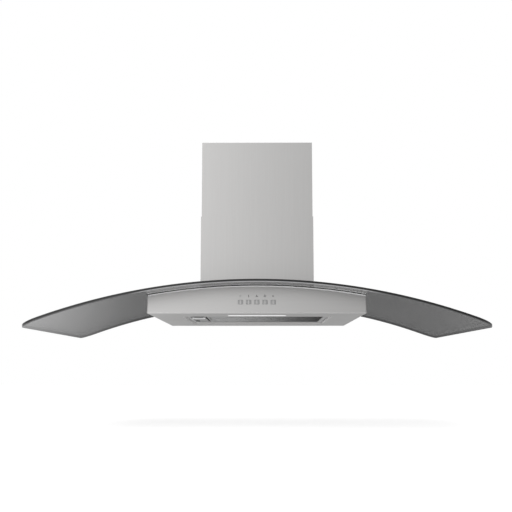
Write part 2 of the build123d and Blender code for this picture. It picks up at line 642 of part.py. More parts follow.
def underside_panel():
    """Flat panel flush with the body's return flange. Its rim lies on the flange, and its filter
    opening has upright edges."""
    plate = (BODY_WIDTH - 2 * (RETURN_FLANGE + PANEL_SEAM), BODY_DEPTH - 2 * (RETURN_FLANGE + PANEL_SEAM))
    rim = (BODY_WIDTH - 2 * (SHEET + BEND_GAP), BODY_DEPTH - 2 * (SHEET + BEND_GAP))
    opening_corner = FILTER_CORNER + FILTER_GAP
    upright = (FILTER_OPENING[0] + 2 * SHEET, FILTER_OPENING[1] + 2 * SHEET)
    light = (LIGHT_LENGTH + 2 * LIGHT_HOLE_GAP, LIGHT_WIDTH + 2 * LIGHT_HOLE_GAP)
    with BuildPart() as panel:
        with BuildSketch(Plane.XY.offset(BODY_BOTTOM)):
            Rectangle(*plate)
        extrude(amount=SHEET)
        with BuildSketch(Plane.XY.offset(PANEL_TOP)):
            RectangleRounded(*rim, BODY_CORNER)
            Rectangle(plate[0] - 2 * SHEET, plate[1] - 2 * SHEET, mode=Mode.SUBTRACT)
        extrude(amount=SHEET)
        with BuildSketch(Plane.XY.offset(PANEL_TOP)):
            with Locations((0, FILTER_Y)):
                RectangleRounded(*upright, opening_corner + SHEET)
        extrude(amount=PANEL_FLANGE_TOP - PANEL_TOP)
        with BuildSketch(Plane.XY.offset(BODY_BOTTOM)):
            with Locations((0, FILTER_Y)):
                RectangleRounded(*FILTER_OPENING, opening_corner)
            with Locations((0, LIGHT_Y)):
                Rectangle(*light)
        extrude(amount=PANEL_FLANGE_TOP - BODY_BOTTOM, mode=Mode.SUBTRACT)
    return panel.part


def filter_frame():
    """Folded aluminium frame of the mesh filter, with two hinge pins on its right side."""
    inner = (FILTER_WIDTH - 2 * FILTER_WALL, FILTER_DEPTH - 2 * FILTER_WALL)
    top_hole = (FILTER_WIDTH - 2 * FILTER_TOP_FLANGE, FILTER_DEPTH - 2 * FILTER_TOP_FLANGE)
    floor_top = FILTER_LOW + FILTER_WALL
    pin_length = FILTER_WALL + FILTER_GAP + SHEET + HINGE_BRACKET_GAP + HINGE_BRACKET_THICKNESS
    with BuildPart() as frame:
        with BuildSketch(Plane.XY.offset(FILTER_LOW)):
            with Locations((0, FILTER_Y)):
                RectangleRounded(FILTER_WIDTH, FILTER_DEPTH, FILTER_CORNER)
        extrude(amount=FILTER_THICKNESS)
        fillet(frame.faces().sort_by(Axis.Z)[0].edges(), FILTER_BEND)
        with BuildSketch(Plane.XY.offset(floor_top)):
            with Locations((0, FILTER_Y)):
                RectangleRounded(*inner, FILTER_CORNER - FILTER_WALL)
        extrude(amount=FILTER_THICKNESS - 2 * FILTER_WALL, mode=Mode.SUBTRACT)
        with BuildSketch(Plane.XY.offset(floor_top)):
            with Locations((0, FILTER_Y)):
                Rectangle(*top_hole)
        extrude(amount=FILTER_THICKNESS, mode=Mode.SUBTRACT)
        with BuildSketch(Plane.XY.offset(FILTER_LOW)):
            with Locations((MESH_X, FILTER_Y)):
                Rectangle(*MESH_OPENING)
            with Locations(LATCH_PLACE):
                Rectangle(LATCH_WIDTH, LATCH_LENGTH)
        extrude(amount=FILTER_WALL, mode=Mode.SUBTRACT)
        with BuildSketch(Plane.YZ.offset(-FILTER_WIDTH / 2 - FILTER_WALL)):
            with Locations(LATCH_SLOT_PLACE):
                with GridLocations(LATCH_TONGUE_PITCH, 1, 2, 1):
                    Rectangle(*LATCH_SLOT)
        extrude(amount=3 * FILTER_WALL, mode=Mode.SUBTRACT)
        for side in (-1, 1):
            pin_root = (HINGE_X, FILTER_Y + side * (FILTER_DEPTH / 2 - FILTER_WALL), HINGE_Z)
            with BuildSketch(Plane(origin=pin_root, z_dir=(0, side, 0))):
                Circle(HINGE_PIN_RADIUS)
            extrude(amount=pin_length)
    return frame.part


def filter_layer(low, thickness):
    """One flat layer of the filter, lying in the folded frame beside the latch cup."""
    left = MESH_LEFT - FILTER_LAYER_LAP
    right = FILTER_WIDTH / 2 - FILTER_WALL - FILTER_LAYER_GAP
    depth = FILTER_DEPTH - 2 * (FILTER_WALL + FILTER_LAYER_GAP)
    with BuildPart() as layer:
        with BuildSketch(Plane.XY.offset(low)):
            with Locations(((left + right) / 2, FILTER_Y)):
                RectangleRounded(right - left, depth, FILTER_CORNER - FILTER_WALL)
        extrude(amount=thickness)
    return layer.part


def latch_cup():
    """Shallow cup in the filter frame, open downwards, slotted for the latch's tongues."""
    low = FILTER_LOW + LATCH_CUP_GAP
    with BuildPart() as cup:
        with BuildSketch(Plane.XY.offset(low)):
            with Locations(LATCH_PLACE):
                Rectangle(LATCH_WIDTH - 2 * LATCH_CUP_GAP, LATCH_LENGTH - 2 * LATCH_CUP_GAP)
        extrude(amount=LATCH_CUP_DEPTH)
        with BuildSketch(Plane.XY.offset(low)):
            with Locations(LATCH_PLACE):
                Rectangle(2 * LATCH_CUP_INNER[0], 2 * LATCH_CUP_INNER[1])
        extrude(amount=LATCH_CUP_DEPTH - LATCH_WALL, mode=Mode.SUBTRACT)
        with BuildSketch(Plane.YZ.offset(LATCH_PLACE[0] - LATCH_WIDTH / 2)):
            with Locations(LATCH_SLOT_PLACE):
                with GridLocations(LATCH_TONGUE_PITCH, 1, 2, 1):
                    Rectangle(*LATCH_SLOT)
        extrude(amount=3 * LATCH_WALL, mode=Mode.SUBTRACT)
    return cup.part


def latch_slide():
    """Sliding plate with a finger bar in front and a round knob behind. Two tongues on its left
    reach over the panel's upright edge."""
    width = LATCH_SLIDE_RIGHT - LATCH_SLIDE_LEFT
    middle_x = (LATCH_SLIDE_LEFT + LATCH_SLIDE_RIGHT) / 2
    cup_front = LATCH_PLACE[1] - LATCH_CUP_INNER[1]
    bar_front = cup_front + LATCH_POCKET
    plate_front = bar_front + LATCH_ARM_LENGTH
    plate_rear = LATCH_PLACE[1] + LATCH_CUP_INNER[1] - LATCH_GAP
    plate_low = FILTER_LOW + LATCH_PLATE_RECESS
    bar_low = FILTER_LOW - LATCH_BAR_DROP
    tongue_left = -FILTER_WIDTH / 2 - LATCH_TONGUE_REACH
    tongue_length = middle_x - tongue_left
    knob_place = (LATCH_SLIDE_LEFT + LATCH_KNOB_X, LATCH_PLACE[1] + LATCH_KNOB_Y)
    knob_low = FILTER_LOW - LATCH_KNOB_DROP
    with BuildPart() as slide:
        with BuildSketch(Plane.XY.offset(knob_low)):
            with Locations(knob_place):
                Circle(LATCH_KNOB_RADIUS)
        extrude(amount=plate_low + LATCH_PLATE_THICKNESS - knob_low)
        fillet(slide.edges().sort_by(Axis.Z)[0], LATCH_KNOB_ROUND)
        with BuildSketch(Plane.XY.offset(plate_low)):
            with Locations((middle_x, (plate_front + plate_rear) / 2)):
                Rectangle(width, plate_rear - plate_front)
        extrude(amount=LATCH_PLATE_THICKNESS)
        with BuildSketch(Plane.XY.offset(bar_low)):
            with Locations((middle_x, bar_front + LATCH_BAR_DEPTH / 2)):
                Rectangle(width, LATCH_BAR_DEPTH)
        extrude(amount=LATCH_BAR_HEIGHT)
        with BuildSketch(Plane.XY.offset(bar_low)):
            for side in (-1, 1):
                arm_x = middle_x + side * (width - LATCH_ARM_WIDTH) / 2
                with Locations((arm_x, bar_front + LATCH_ARM_LENGTH / 2 + LATCH_ARM_WIDTH / 2)):
                    Rectangle(LATCH_ARM_WIDTH, LATCH_ARM_LENGTH - LATCH_ARM_WIDTH)
        extrude(amount=plate_low + LATCH_PLATE_THICKNESS - bar_low)
        with BuildSketch(Plane.XY.offset(LATCH_TONGUE_Z)):
            with Locations((tongue_left + tongue_length / 2, LATCH_SLOT_PLACE[0])):
                with GridLocations(1, LATCH_TONGUE_PITCH, 1, 2):
                    Rectangle(tongue_length, LATCH_TONGUE_WIDTH)
        extrude(amount=LATCH_TONGUE_THICKNESS)
    return slide.part


def hinge_brackets():
    """Two blocks on the panel that hold the filter's hinge pins."""
    height = HINGE_Z + HINGE_BRACKET_MARGIN - PANEL_TOP
    near = FILTER_DEPTH / 2 + FILTER_GAP + SHEET + HINGE_BRACKET_GAP
    with BuildPart() as brackets:
        for side in (-1, 1):
            middle = FILTER_Y + side * (near + HINGE_BRACKET_THICKNESS / 2)
            with BuildSketch(Plane.XZ.offset(-middle)):
                with Locations((HINGE_X, PANEL_TOP + height / 2)):
                    Rectangle(HINGE_BRACKET_WIDTH, height)
                with Locations((HINGE_X, HINGE_Z)):
                    Circle(HINGE_PIN_RADIUS + HINGE_PIN_GAP, mode=Mode.SUBTRACT)
            extrude(amount=HINGE_BRACKET_THICKNESS / 2, both=True)
    return brackets.part


def led_lens():
    """Frosted diffuser of the light, with a lip that rests on the panel."""
    low = PANEL_TOP - SHEET - LIGHT_PROUD
    with BuildPart() as lens:
        with BuildSketch(Plane.XY.offset(low)):
            with Locations((0, LIGHT_Y)):
                Rectangle(LIGHT_LENGTH, LIGHT_WIDTH)
        extrude(amount=PANEL_TOP + LIGHT_LIP_THICKNESS - low)
        fillet(lens.faces().sort_by(Axis.Z)[0].edges(), LIGHT_EDGE_ROUND)
        with BuildSketch(Plane.XY.offset(PANEL_TOP)):
            with Locations((0, LIGHT_Y)):
                Rectangle(LIGHT_LENGTH + 2 * LIGHT_LIP, LIGHT_WIDTH + 2 * LIGHT_LIP)
        extrude(amount=LIGHT_LIP_THICKNESS)
    return lens.part


def led_housing():
    """Channel over the diffuser that holds the light's board."""
    margin = LIGHT_LIP + LIGHT_HOUSING_GAP + LIGHT_HOUSING_WALL
    length = LIGHT_LENGTH + 2 * margin
    width = LIGHT_WIDTH + 2 * margin
    with BuildPart() as housing:
        with BuildSketch(Plane.XY.offset(PANEL_TOP)):
            with Locations((0, LIGHT_Y)):
                Rectangle(length, width)
        extrude(amount=LIGHT_HOUSING_HEIGHT)
        with BuildSketch(Plane.XY.offset(PANEL_TOP)):
            with Locations((0, LIGHT_Y)):
                Rectangle(length - 2 * LIGHT_HOUSING_WALL, width - 2 * LIGHT_HOUSING_WALL)
        extrude(amount=LIGHT_HOUSING_HEIGHT - LIGHT_HOUSING_WALL, mode=Mode.SUBTRACT)
    return housing.part


def led_board():
    """Circuit board under the housing's roof, with a row of light-emitting chips."""
    top = PANEL_TOP + LIGHT_HOUSING_HEIGHT - LIGHT_HOUSING_WALL
    length = LIGHT_LENGTH - 2 * LIGHT_BOARD_INSET
    with BuildPart() as board:
        with BuildSketch(Plane.XY.offset(top)):
            with Locations((0, LIGHT_Y)):
                Rectangle(length, LIGHT_BOARD_WIDTH)
        extrude(amount=-BOARD_THICKNESS)
        with BuildSketch(Plane.XY.offset(top - BOARD_THICKNESS)):
            with Locations((0, LIGHT_Y)):
                with GridLocations(length / LED_COUNT, 1, LED_COUNT, 1):
                    Rectangle(LED_SIZE, LED_SIZE)
        extrude(amount=-LED_HEIGHT)
    return board.part


def push_button(x):
    """One push-button: cap, retaining flange behind the wall and a square stem."""
    front = Plane.XZ.offset(-BODY_FRONT_Y + BUTTON_PROUD)
    flange_y = WALL_INSIDE_Y + BUTTON_FLANGE_GAP
    cap_depth = flange_y - (BODY_FRONT_Y - BUTTON_PROUD)
    with BuildPart() as button:
        with BuildSketch(front):
            with Locations((x, BUTTON_Z)):
                RectangleRounded(BUTTON_WIDTH, BUTTON_HEIGHT, BUTTON_CORNER)
        extrude(amount=-cap_depth)
        fillet(button.faces().sort_by(Axis.Y)[0].edges(), BUTTON_EDGE_ROUND)
        with BuildSketch(Plane.XZ.offset(-flange_y)):
            with Locations((x, BUTTON_Z)):
                Rectangle(BUTTON_WIDTH + 2 * BUTTON_FLANGE, BUTTON_HEIGHT + 2 * BUTTON_FLANGE)
        extrude(amount=-BUTTON_FLANGE)
        with BuildSketch(Plane.XZ.offset(-flange_y)):
            with Locations((x, BUTTON_Z)):
                Rectangle(BUTTON_STEM, BUTTON_STEM)
        extrude(amount=flange_y - STEM_END_Y)
    return button.part


def switch_housing():
    """Tray behind the front wall, with a guide plate for the button stems."""
    back = WALL_INSIDE_Y + SWITCH_HOUSING_DEPTH
    wall = SWITCH_HOUSING_WALL
    inner = (SWITCH_HOUSING_WIDTH - 2 * wall, SWITCH_HOUSING_HEIGHT - 2 * wall)
    guide_y = WALL_INSIDE_Y + SWITCH_GUIDE_DEPTH
    with BuildPart() as housing:
        with BuildSketch(Plane.XZ.offset(-back)):
            with Locations((0, BUTTON_Z)):
                Rectangle(SWITCH_HOUSING_WIDTH, SWITCH_HOUSING_HEIGHT)
        extrude(amount=SWITCH_HOUSING_DEPTH)
        with BuildSketch(Plane.XZ.offset(-back + wall)):
            with Locations((0, BUTTON_Z)):
                Rectangle(*inner)
        extrude(amount=SWITCH_HOUSING_DEPTH, mode=Mode.SUBTRACT)
        with BuildSketch(Plane.XZ.offset(-guide_y)):
            with Locations((0, BUTTON_Z)):
                Rectangle(SWITCH_HOUSING_WIDTH - wall, SWITCH_HOUSING_HEIGHT - wall)
                with GridLocations(BUTTON_PITCH, 1, BUTTON_COUNT, 1):
                    hole = BUTTON_STEM + 2 * BUTTON_STEM_GAP
                    Rectangle(hole, hole, mode=Mode.SUBTRACT)
        extrude(amount=-wall)
    return housing.part


def switch_board():
    """Circuit board at the back of the tray, with one sprung switch behind each button."""
    back = WALL_INSIDE_Y + SWITCH_HOUSING_DEPTH - SWITCH_HOUSING_WALL
    clearance = 2 * (SWITCH_HOUSING_WALL + SWITCH_BOARD_GAP)
    with BuildPart() as board:
        with BuildSketch(Plane.XZ.offset(-back)):
            with Locations((0, BUTTON_Z)):
                Rectangle(SWITCH_HOUSING_WIDTH - clearance, SWITCH_HOUSING_HEIGHT - clearance)
        extrude(amount=BOARD_THICKNESS)
        with BuildSketch(Plane.XZ.offset(-back + BOARD_THICKNESS)):
            with Locations((0, BUTTON_Z)):
                with GridLocations(BUTTON_PITCH, 1, BUTTON_COUNT, 1):
                    Rectangle(SWITCH_SIZE, SWITCH_SIZE)
        extrude(amount=SWITCH_HEIGHT)
    return board.part


def volute_face(inset):
    """The scroll's outline in the fan's plane: a spiral that opens into the outlet channel."""
    sweep = 360.0 - VOLUTE_START_ANGLE
    growth = VOLUTE_END_RADIUS - VOLUTE_START_RADIUS
    spiral = []
    for step in range(VOLUTE_POINTS + 1):
        share = step / VOLUTE_POINTS
        angle = math.radians(VOLUTE_START_ANGLE + sweep * share)
        radius = VOLUTE_START_RADIUS + growth * share - inset
        spiral.append((FAN_Y + radius * math.cos(angle), FAN_Z + radius * math.sin(angle)))
    left = VOLUTE_LEFT + inset
    right = VOLUTE_RIGHT - inset
    with BuildSketch(Plane.YZ) as face:
        with BuildLine():
            Spline(*spiral)
            Polyline(spiral[-1], (right, LID_BOTTOM), (left, LID_BOTTOM), spiral[0])
        make_face()
    return face.sketch


def scroll_wrap():
    """The strip of sheet that wraps round the impeller and rises to the outlet."""
    outside = volute_face(0.0)
    inside = volute_face(VOLUTE_WALL)
    with BuildPart() as wrap:
        extrude(outside, amount=VOLUTE_WIDTH / 2, both=True)
        extrude(inside, amount=VOLUTE_WIDTH, both=True, mode=Mode.SUBTRACT)
    return wrap.part


def scroll_plate(side):
    """One flat side of the scroll, with a round inlet and its collar."""
    outline = volute_face(0.0)
    with BuildPart() as plate:
        with BuildSketch(Plane.YZ.offset(side * VOLUTE_WIDTH / 2)):
            add(Plane.YZ.to_local_coords(outline))
            with Locations((FAN_Y, FAN_Z)):
                Circle(INLET_RADIUS, mode=Mode.SUBTRACT)
        extrude(amount=side * VOLUTE_WALL)
        with BuildSketch(Plane.YZ.offset(side * PLATE_SIDE_X)):
            with Locations((FAN_Y, FAN_Z)):
                Circle(INLET_RADIUS + VOLUTE_WALL)
                Circle(INLET_RADIUS, mode=Mode.SUBTRACT)
        extrude(amount=-side * (VOLUTE_WALL + INLET_COLLAR_DEPTH))
        if side > 0:
            with BuildSketch(Plane.YZ):
                with Locations((FAN_Y, FAN_Z)):
                    with PolarLocations(MOUNT_CIRCLE_RADIUS, BRACKET_ARMS):
                        Circle(SCREW_HOLE_RADIUS)
            extrude(amount=VOLUTE_WIDTH, mode=Mode.SUBTRACT)
    return plate.part


def impeller_blades():
    """The blades on both sides of the middle disc, each a flat strip set at a slant."""
    length = IMPELLER_WIDTH / 2 - IMPELLER_RING_THICKNESS - IMPELLER_DISC_THICKNESS / 2
    blades = []
    for side in (-1, 1):
        with BuildPart() as ring:
            with BuildSketch(Plane.YZ.offset(side * IMPELLER_DISC_THICKNESS / 2)):
                with Locations((FAN_Y, FAN_Z)):
                    with PolarLocations(IMPELLER_RADIUS - BLADE_LENGTH / 2, BLADE_COUNT):
                        Rectangle(BLADE_LENGTH, BLADE_THICKNESS, rotation=BLADE_TILT)
            extrude(amount=side * length)
        blades.append(ring.part)
    with BuildPart() as both:
        add(blades)
    return both.part


def impeller_rings():
    """The two flat rings that close the blades' outer ends."""
    profile = [(IMPELLER_RADIUS, IMPELLER_RADIUS - IMPELLER_RING_WIDTH)]
    half = IMPELLER_WIDTH / 2
    left = turned(profile, -half, IMPELLER_RING_THICKNESS - half)
    right = turned(profile, half - IMPELLER_RING_THICKNESS, half)
    with BuildPart() as rings:
        add([left, right])
    return rings.part


def impeller_disc():
    """Middle disc of the wheel with its hub on the shaft."""
    half = IMPELLER_DISC_THICKNESS / 2
    disc = turned([(IMPELLER_RADIUS, SHAFT_RADIUS)], -half, half)
    hub = turned([(HUB_RADIUS, SHAFT_RADIUS)], -HUB_LENGTH, half)
    with BuildPart() as wheel:
        add([disc, hub])
    return wheel.part


def turned(rings, start, end):
    """Coaxial rings about the fan's axis. Each ring is an outer and an inner radius."""
    with BuildPart() as solid:
        for outer, inner in rings:
            with BuildSketch(Plane.YZ.offset(start)):
                with Locations((FAN_Y, FAN_Z)):
                    Circle(outer)
                    if inner > 0:
                        Circle(inner, mode=Mode.SUBTRACT)
            extrude(amount=end - start)
    return solid.part


def motor_case():
    """Round case of the motor with a bearing boss inside each end."""
    shell = turned([(MOTOR_RADIUS, MOTOR_RADIUS - MOTOR_WALL)], MOTOR_START, MOTOR_END)
    end = [(MOTOR_RADIUS - MOTOR_WALL / 2, BEARING_RADIUS)]
    boss = [(BEARING_RADIUS + BEARING_BOSS, BEARING_RADIUS)]
    ends = [
        turned(end, MOTOR_START, MOTOR_START + MOTOR_WALL),
        turned(end, MOTOR_END - MOTOR_WALL, MOTOR_END),
        turned(boss, MOTOR_START, MOTOR_START + BEARING_LENGTH),
        turned(boss, MOTOR_END - BEARING_LENGTH, MOTOR_END),
    ]
    with BuildPart() as case:
        add(shell)
        add(ends)
    return case.part


def motor_bearings():
    """The two sleeve bearings in the ends of the motor case."""
    ring = [(BEARING_RADIUS, SHAFT_RADIUS + SHAFT_RUNNING_GAP)]
    near = turned(ring, MOTOR_START, MOTOR_START + BEARING_LENGTH)
    far = turned(ring, MOTOR_END - BEARING_LENGTH, MOTOR_END)
    with BuildPart() as bearings:
        add([near, far])
    return bearings.part


def motor_bracket():
    """Three-armed bracket that holds the motor in the right-hand inlet."""
    with BuildPart() as bracket:
        with BuildSketch(Plane.YZ.offset(MOTOR_END)):
            with Locations((FAN_Y, FAN_Z)):
                Circle(BRACKET_HUB_RADIUS)
                with PolarLocations(MOUNT_CIRCLE_RADIUS / 2, BRACKET_ARMS):
                    Rectangle(MOUNT_CIRCLE_RADIUS, BRACKET_ARM_WIDTH)
                with PolarLocations(MOUNT_CIRCLE_RADIUS, BRACKET_ARMS):
                    Circle(BRACKET_ARM_WIDTH / 2)
                    Circle(SCREW_HOLE_RADIUS, mode=Mode.SUBTRACT)
                Circle(BEARING_RADIUS, mode=Mode.SUBTRACT)
        extrude(amount=BRACKET_THICKNESS)
    return bracket.part


def motor_mounts():
    """Rubber bushes between the scroll's side and the bracket's arms."""
    with BuildPart() as mounts:
        with BuildSketch(Plane.YZ.offset(PLATE_SIDE_X)):
            with Locations((FAN_Y, FAN_Z)):
                with PolarLocations(MOUNT_CIRCLE_RADIUS, BRACKET_ARMS):
                    Circle(MOUNT_RADIUS)
                    Circle(SCREW_HOLE_RADIUS, mode=Mode.SUBTRACT)
        extrude(amount=MOTOR_END - PLATE_SIDE_X)
    return mounts.part


def outlet_adapter():
    """Moulded piece from the scroll's square outlet to a round spigot for the duct."""
    base = (OUTLET_HOLE[0] + 2 * OUTLET_BASE_MARGIN, OUTLET_HOLE[1] + 2 * OUTLET_BASE_MARGIN)
    throat_top = LID_TOP + OUTLET_THROAT_HEIGHT
    wall = 2 * OUTLET_WALL
    stop_top = DAMPER_Z - DAMPER_THICKNESS / 2 - DAMPER_STOP_GAP
    with BuildPart() as adapter:
        with BuildSketch(Plane.XY.offset(LID_TOP)):
            with Locations((0, OUTLET_HOLE_Y)):
                Rectangle(OUTLET_HOLE[0] + wall, OUTLET_HOLE[1] + wall)
        with BuildSketch(Plane.XY.offset(throat_top)):
            Circle(OUTLET_RADIUS)
        loft()
        with BuildSketch(Plane.XY.offset(throat_top)):
            Circle(OUTLET_RADIUS)
        extrude(amount=OUTLET_TOP - throat_top)
        with BuildSketch(Plane.XY.offset(LID_TOP)):
            with Locations((0, OUTLET_HOLE_Y)):
                Rectangle(*base)
        extrude(amount=OUTLET_BASE_THICKNESS)
        with BuildSketch(Plane.XY.offset(LID_TOP)):
            with Locations((0, OUTLET_HOLE_Y)):
                Rectangle(*OUTLET_HOLE)
        with BuildSketch(Plane.XY.offset(throat_top)):
            Circle(OUTLET_INNER_RADIUS)
        loft(mode=Mode.SUBTRACT)
        with BuildSketch(Plane.XY.offset(throat_top)):
            Circle(OUTLET_INNER_RADIUS)
        extrude(amount=OUTLET_TOP - throat_top, mode=Mode.SUBTRACT)
        with BuildSketch(Plane.XY.offset(stop_top - DAMPER_STOP_THICKNESS)):
            Circle(OUTLET_INNER_RADIUS + OUTLET_WALL / 2)
            Circle(OUTLET_INNER_RADIUS - DAMPER_STOP_WIDTH, mode=Mode.SUBTRACT)
        extrude(amount=DAMPER_STOP_THICKNESS)
        with BuildSketch(Plane.YZ):
            with Locations((0, DAMPER_Z)):
                Circle(DAMPER_PIN_RADIUS)
        extrude(amount=OUTLET_RADIUS - OUTLET_WALL / 2, both=True, mode=Mode.SUBTRACT)
    return adapter.part


def damper_pin():
    """Steel pin across the spigot that both damper flaps turn on."""
    with BuildPart() as pin:
        with BuildSketch(Plane.YZ):
            with Locations((0, DAMPER_Z)):
                Circle(DAMPER_PIN_RADIUS)
        extrude(amount=OUTLET_RADIUS - OUTLET_WALL / 2, both=True)
    return pin.part


def damper_flap(side):
    """Half-round flap with knuckles that interleave with the other flap's."""
    shift = DAMPER_KNUCKLE_PITCH / 2 * side
    places = [(shift + DAMPER_KNUCKLE_PITCH * 2 * step, 0) for step in (-1, 0, 1)]
    bore = DAMPER_PIN_RADIUS + DAMPER_PIN_GAP
    with BuildPart() as flap:
        with BuildSketch(Plane.XY.offset(DAMPER_Z - DAMPER_THICKNESS / 2)):
            Circle(DAMPER_RADIUS)
            with Locations((0, side * (DAMPER_INNER_EDGE + DAMPER_RADIUS))):
                Rectangle(2 * DAMPER_RADIUS, 2 * DAMPER_RADIUS, mode=Mode.INTERSECT)
            with Locations(*[(x, side * DAMPER_INNER_EDGE / 2) for x, _ in places]):
                Rectangle(DAMPER_KNUCKLE_LENGTH, DAMPER_INNER_EDGE + DAMPER_THICKNESS)
        extrude(amount=DAMPER_THICKNESS)
        for x, _ in places:
            with BuildSketch(Plane.YZ.offset(x - DAMPER_KNUCKLE_LENGTH / 2)):
                with Locations((0, DAMPER_Z)):
                    Circle(DAMPER_KNUCKLE_RADIUS)
            extrude(amount=DAMPER_KNUCKLE_LENGTH)
        with BuildSketch(Plane.YZ):
            with Locations((0, DAMPER_Z)):
                Circle(bore)
        extrude(amount=OUTLET_RADIUS, both=True, mode=Mode.SUBTRACT)
    return flap.part


def junction_box():
    """Open-topped box for the mains terminals, standing on the panel."""
    width, depth, height = JUNCTION_SIZE
    with BuildPart() as box:
        with BuildSketch(Plane.XY.offset(PANEL_TOP)):
            with Locations((ELECTRICS_X, JUNCTION_Y)):
                Rectangle(width, depth)
        extrude(amount=height)
        with BuildSketch(Plane.XY.offset(PANEL_TOP + JUNCTION_WALL)):
            with Locations((ELECTRICS_X, JUNCTION_Y)):
                Rectangle(width - 2 * JUNCTION_WALL, depth - 2 * JUNCTION_WALL)
        extrude(amount=height, mode=Mode.SUBTRACT)
    return box.part


def junction_lid():
    """Flat lid of the junction box."""
    width, depth, height = JUNCTION_SIZE
    inset = JUNCTION_WALL + JUNCTION_LID_GAP
    with BuildPart() as lid:
        with BuildSketch(Plane.XY.offset(PANEL_TOP + height)):
            with Locations((ELECTRICS_X, JUNCTION_Y)):
                Rectangle(width, depth)
        extrude(amount=JUNCTION_WALL)
        with BuildSketch(Plane.XY.offset(PANEL_TOP + height - JUNCTION_WALL)):
            with Locations((ELECTRICS_X, JUNCTION_Y)):
                Rectangle(width - 2 * inset, depth - 2 * inset)
        extrude(amount=JUNCTION_WALL)
    return lid.part


def motor_capacitor():
    """Round running capacitor lying on the panel beside the filter."""
    centre = PANEL_TOP + CAPACITOR_RADIUS
    with BuildPart() as capacitor:
        with BuildSketch(Plane.XZ.offset(-CAPACITOR_Y)):
            with Locations((ELECTRICS_X, centre)):
                Circle(CAPACITOR_RADIUS)
        extrude(amount=CAPACITOR_LENGTH / 2, both=True)
        fillet(capacitor.edges().filter_by(GeomType.CIRCLE), SOFT_EDGE)
    return capacitor.part


def led_driver():
    """Sealed supply of the light, standing on the panel left of the filter."""
    width, depth, height = DRIVER_SIZE
    with BuildPart() as driver:
        with BuildSketch(Plane.XY.offset(PANEL_TOP)):
            with Locations((-ELECTRICS_X, JUNCTION_Y)):
                RectangleRounded(width, depth, DRIVER_CORNER)
        extrude(amount=height)
        fillet(driver.faces().sort_by(Axis.Z)[-1].edges(), SOFT_EDGE)
    return driver.part


def cable_gland():
    """Gland in the motor box's lid for the mains cable from the ceiling."""
    nut_low = LID_BOTTOM - GLAND_NUT_HEIGHT
    with BuildPart() as gland:
        with BuildSketch(Plane.XY.offset(nut_low)):
            with Locations(GLAND_PLACE):
                RegularPolygon(GLAND_NUT_RADIUS, 6)
        extrude(amount=GLAND_NUT_HEIGHT)
        with BuildSketch(Plane.XY.offset(LID_BOTTOM)):
            with Locations(GLAND_PLACE):
                Circle(GLAND_NECK_RADIUS)
        extrude(amount=LID_THICKNESS)
        with BuildSketch(Plane.XY.offset(LID_TOP)):
            with Locations(GLAND_PLACE):
                Circle(GLAND_RADIUS)
        extrude(amount=GLAND_HEIGHT)
        fillet(gland.faces().sort_by(Axis.Z)[-1].edges(), GLAND_TOP_ROUND)
        with BuildSketch(Plane.XY.offset(nut_low)):
            with Locations(GLAND_PLACE):
                Circle(GLAND_BORE_RADIUS)
        extrude(amount=LID_TOP + GLAND_HEIGHT - nut_low, mode=Mode.SUBTRACT)
    return gland.part


os.makedirs("parts", exist_ok=True)

save(ceiling_plate(), "ceiling_plate")
for corner_name, corner in CORNERS.items():
    upper_holes = [PLATE_SCREW_Z, *JOIN_SCREW_Z]
    lower_holes = [*JOIN_SCREW_Z, LID_SCREW_Z]
    upper_rail = corner_rail(corner, RAIL_OUT, UPPER_RAIL_BOTTOM, UPPER_CHIMNEY_TOP, upper_holes)
    lower_rail = corner_rail(corner, LOWER_RAIL_OUT, LOWER_RAIL_BOTTOM, LOWER_RAIL_TOP, lower_holes)
    save(upper_rail, f"upper_rail_{corner_name}")
    save(lower_rail, f"lower_rail_{corner_name}")
save(frame_screws(), "frame_screws")
save(upper_chimney(), "upper_chimney")
save(lower_chimney(), "lower_chimney")
save(chimney_screws(), "chimney_screws")
save(box_lid(), "box_lid")
save(motor_box(), "motor_box")
save(box_screws(), "box_screws")
save(glass_canopy(), "glass_canopy")
save(glass_gasket(), "glass_gasket")
save(glass_clamp(), "glass_clamp")
save(clamp_screws(), "clamp_screws")
save(canopy_body(), "canopy_body")
save(underside_panel(), "underside_panel")
save(filter_frame(), "filter_frame")
save(filter_layer(FILTER_LOW + FILTER_WALL, MESH_THICKNESS), "filter_mesh")
backing_top = FILTER_LOW + FILTER_THICKNESS - FILTER_WALL
save(filter_layer(backing_top - MESH_THICKNESS, MESH_THICKNESS), "filter_backing")
save(latch_cup(), "latch_cup")
save(latch_slide(), "latch_slide")
save(hinge_brackets(), "hinge_brackets")
save(led_lens(), "led_lens")
save(led_housing(), "led_housing")
save(led_board(), "led_board")
for number in range(BUTTON_COUNT):
    button_x = (number - (BUTTON_COUNT - 1) / 2) * BUTTON_PITCH
    save(push_button(button_x), f"button_{number + 1}")
save(switch_housing(), "switch_housing")
save(switch_board(), "switch_board")
save(scroll_wrap(), "scroll_wrap")
save(scroll_plate(-1), "scroll_plate_left")
save(scroll_plate(1), "scroll_plate_right")
save(impeller_disc(), "impeller_disc")
save(impeller_blades(), "impeller_blades")
save(impeller_rings(), "impeller_rings")
save(turned([(SHAFT_RADIUS, 0)], -HUB_LENGTH, MOTOR_END - SHAFT_END_INSET), "motor_shaft")
motor_middle = (MOTOR_START + MOTOR_END) / 2
rotor_radius = STATOR_INNER_RADIUS - ROTOR_AIR_GAP
stator_ends = (motor_middle - STATOR_LENGTH / 2, motor_middle + STATOR_LENGTH / 2)
save(turned([(rotor_radius, SHAFT_RADIUS)], *stator_ends), "motor_rotor")
stator_radius = MOTOR_RADIUS - MOTOR_WALL - STATOR_CASE_GAP
save(turned([(stator_radius, STATOR_INNER_RADIUS)], *stator_ends), "motor_stator")
save(motor_case(), "motor_case")
save(motor_bearings(), "motor_bearings")
save(motor_bracket(), "motor_bracket")
save(motor_mounts(), "motor_mounts")
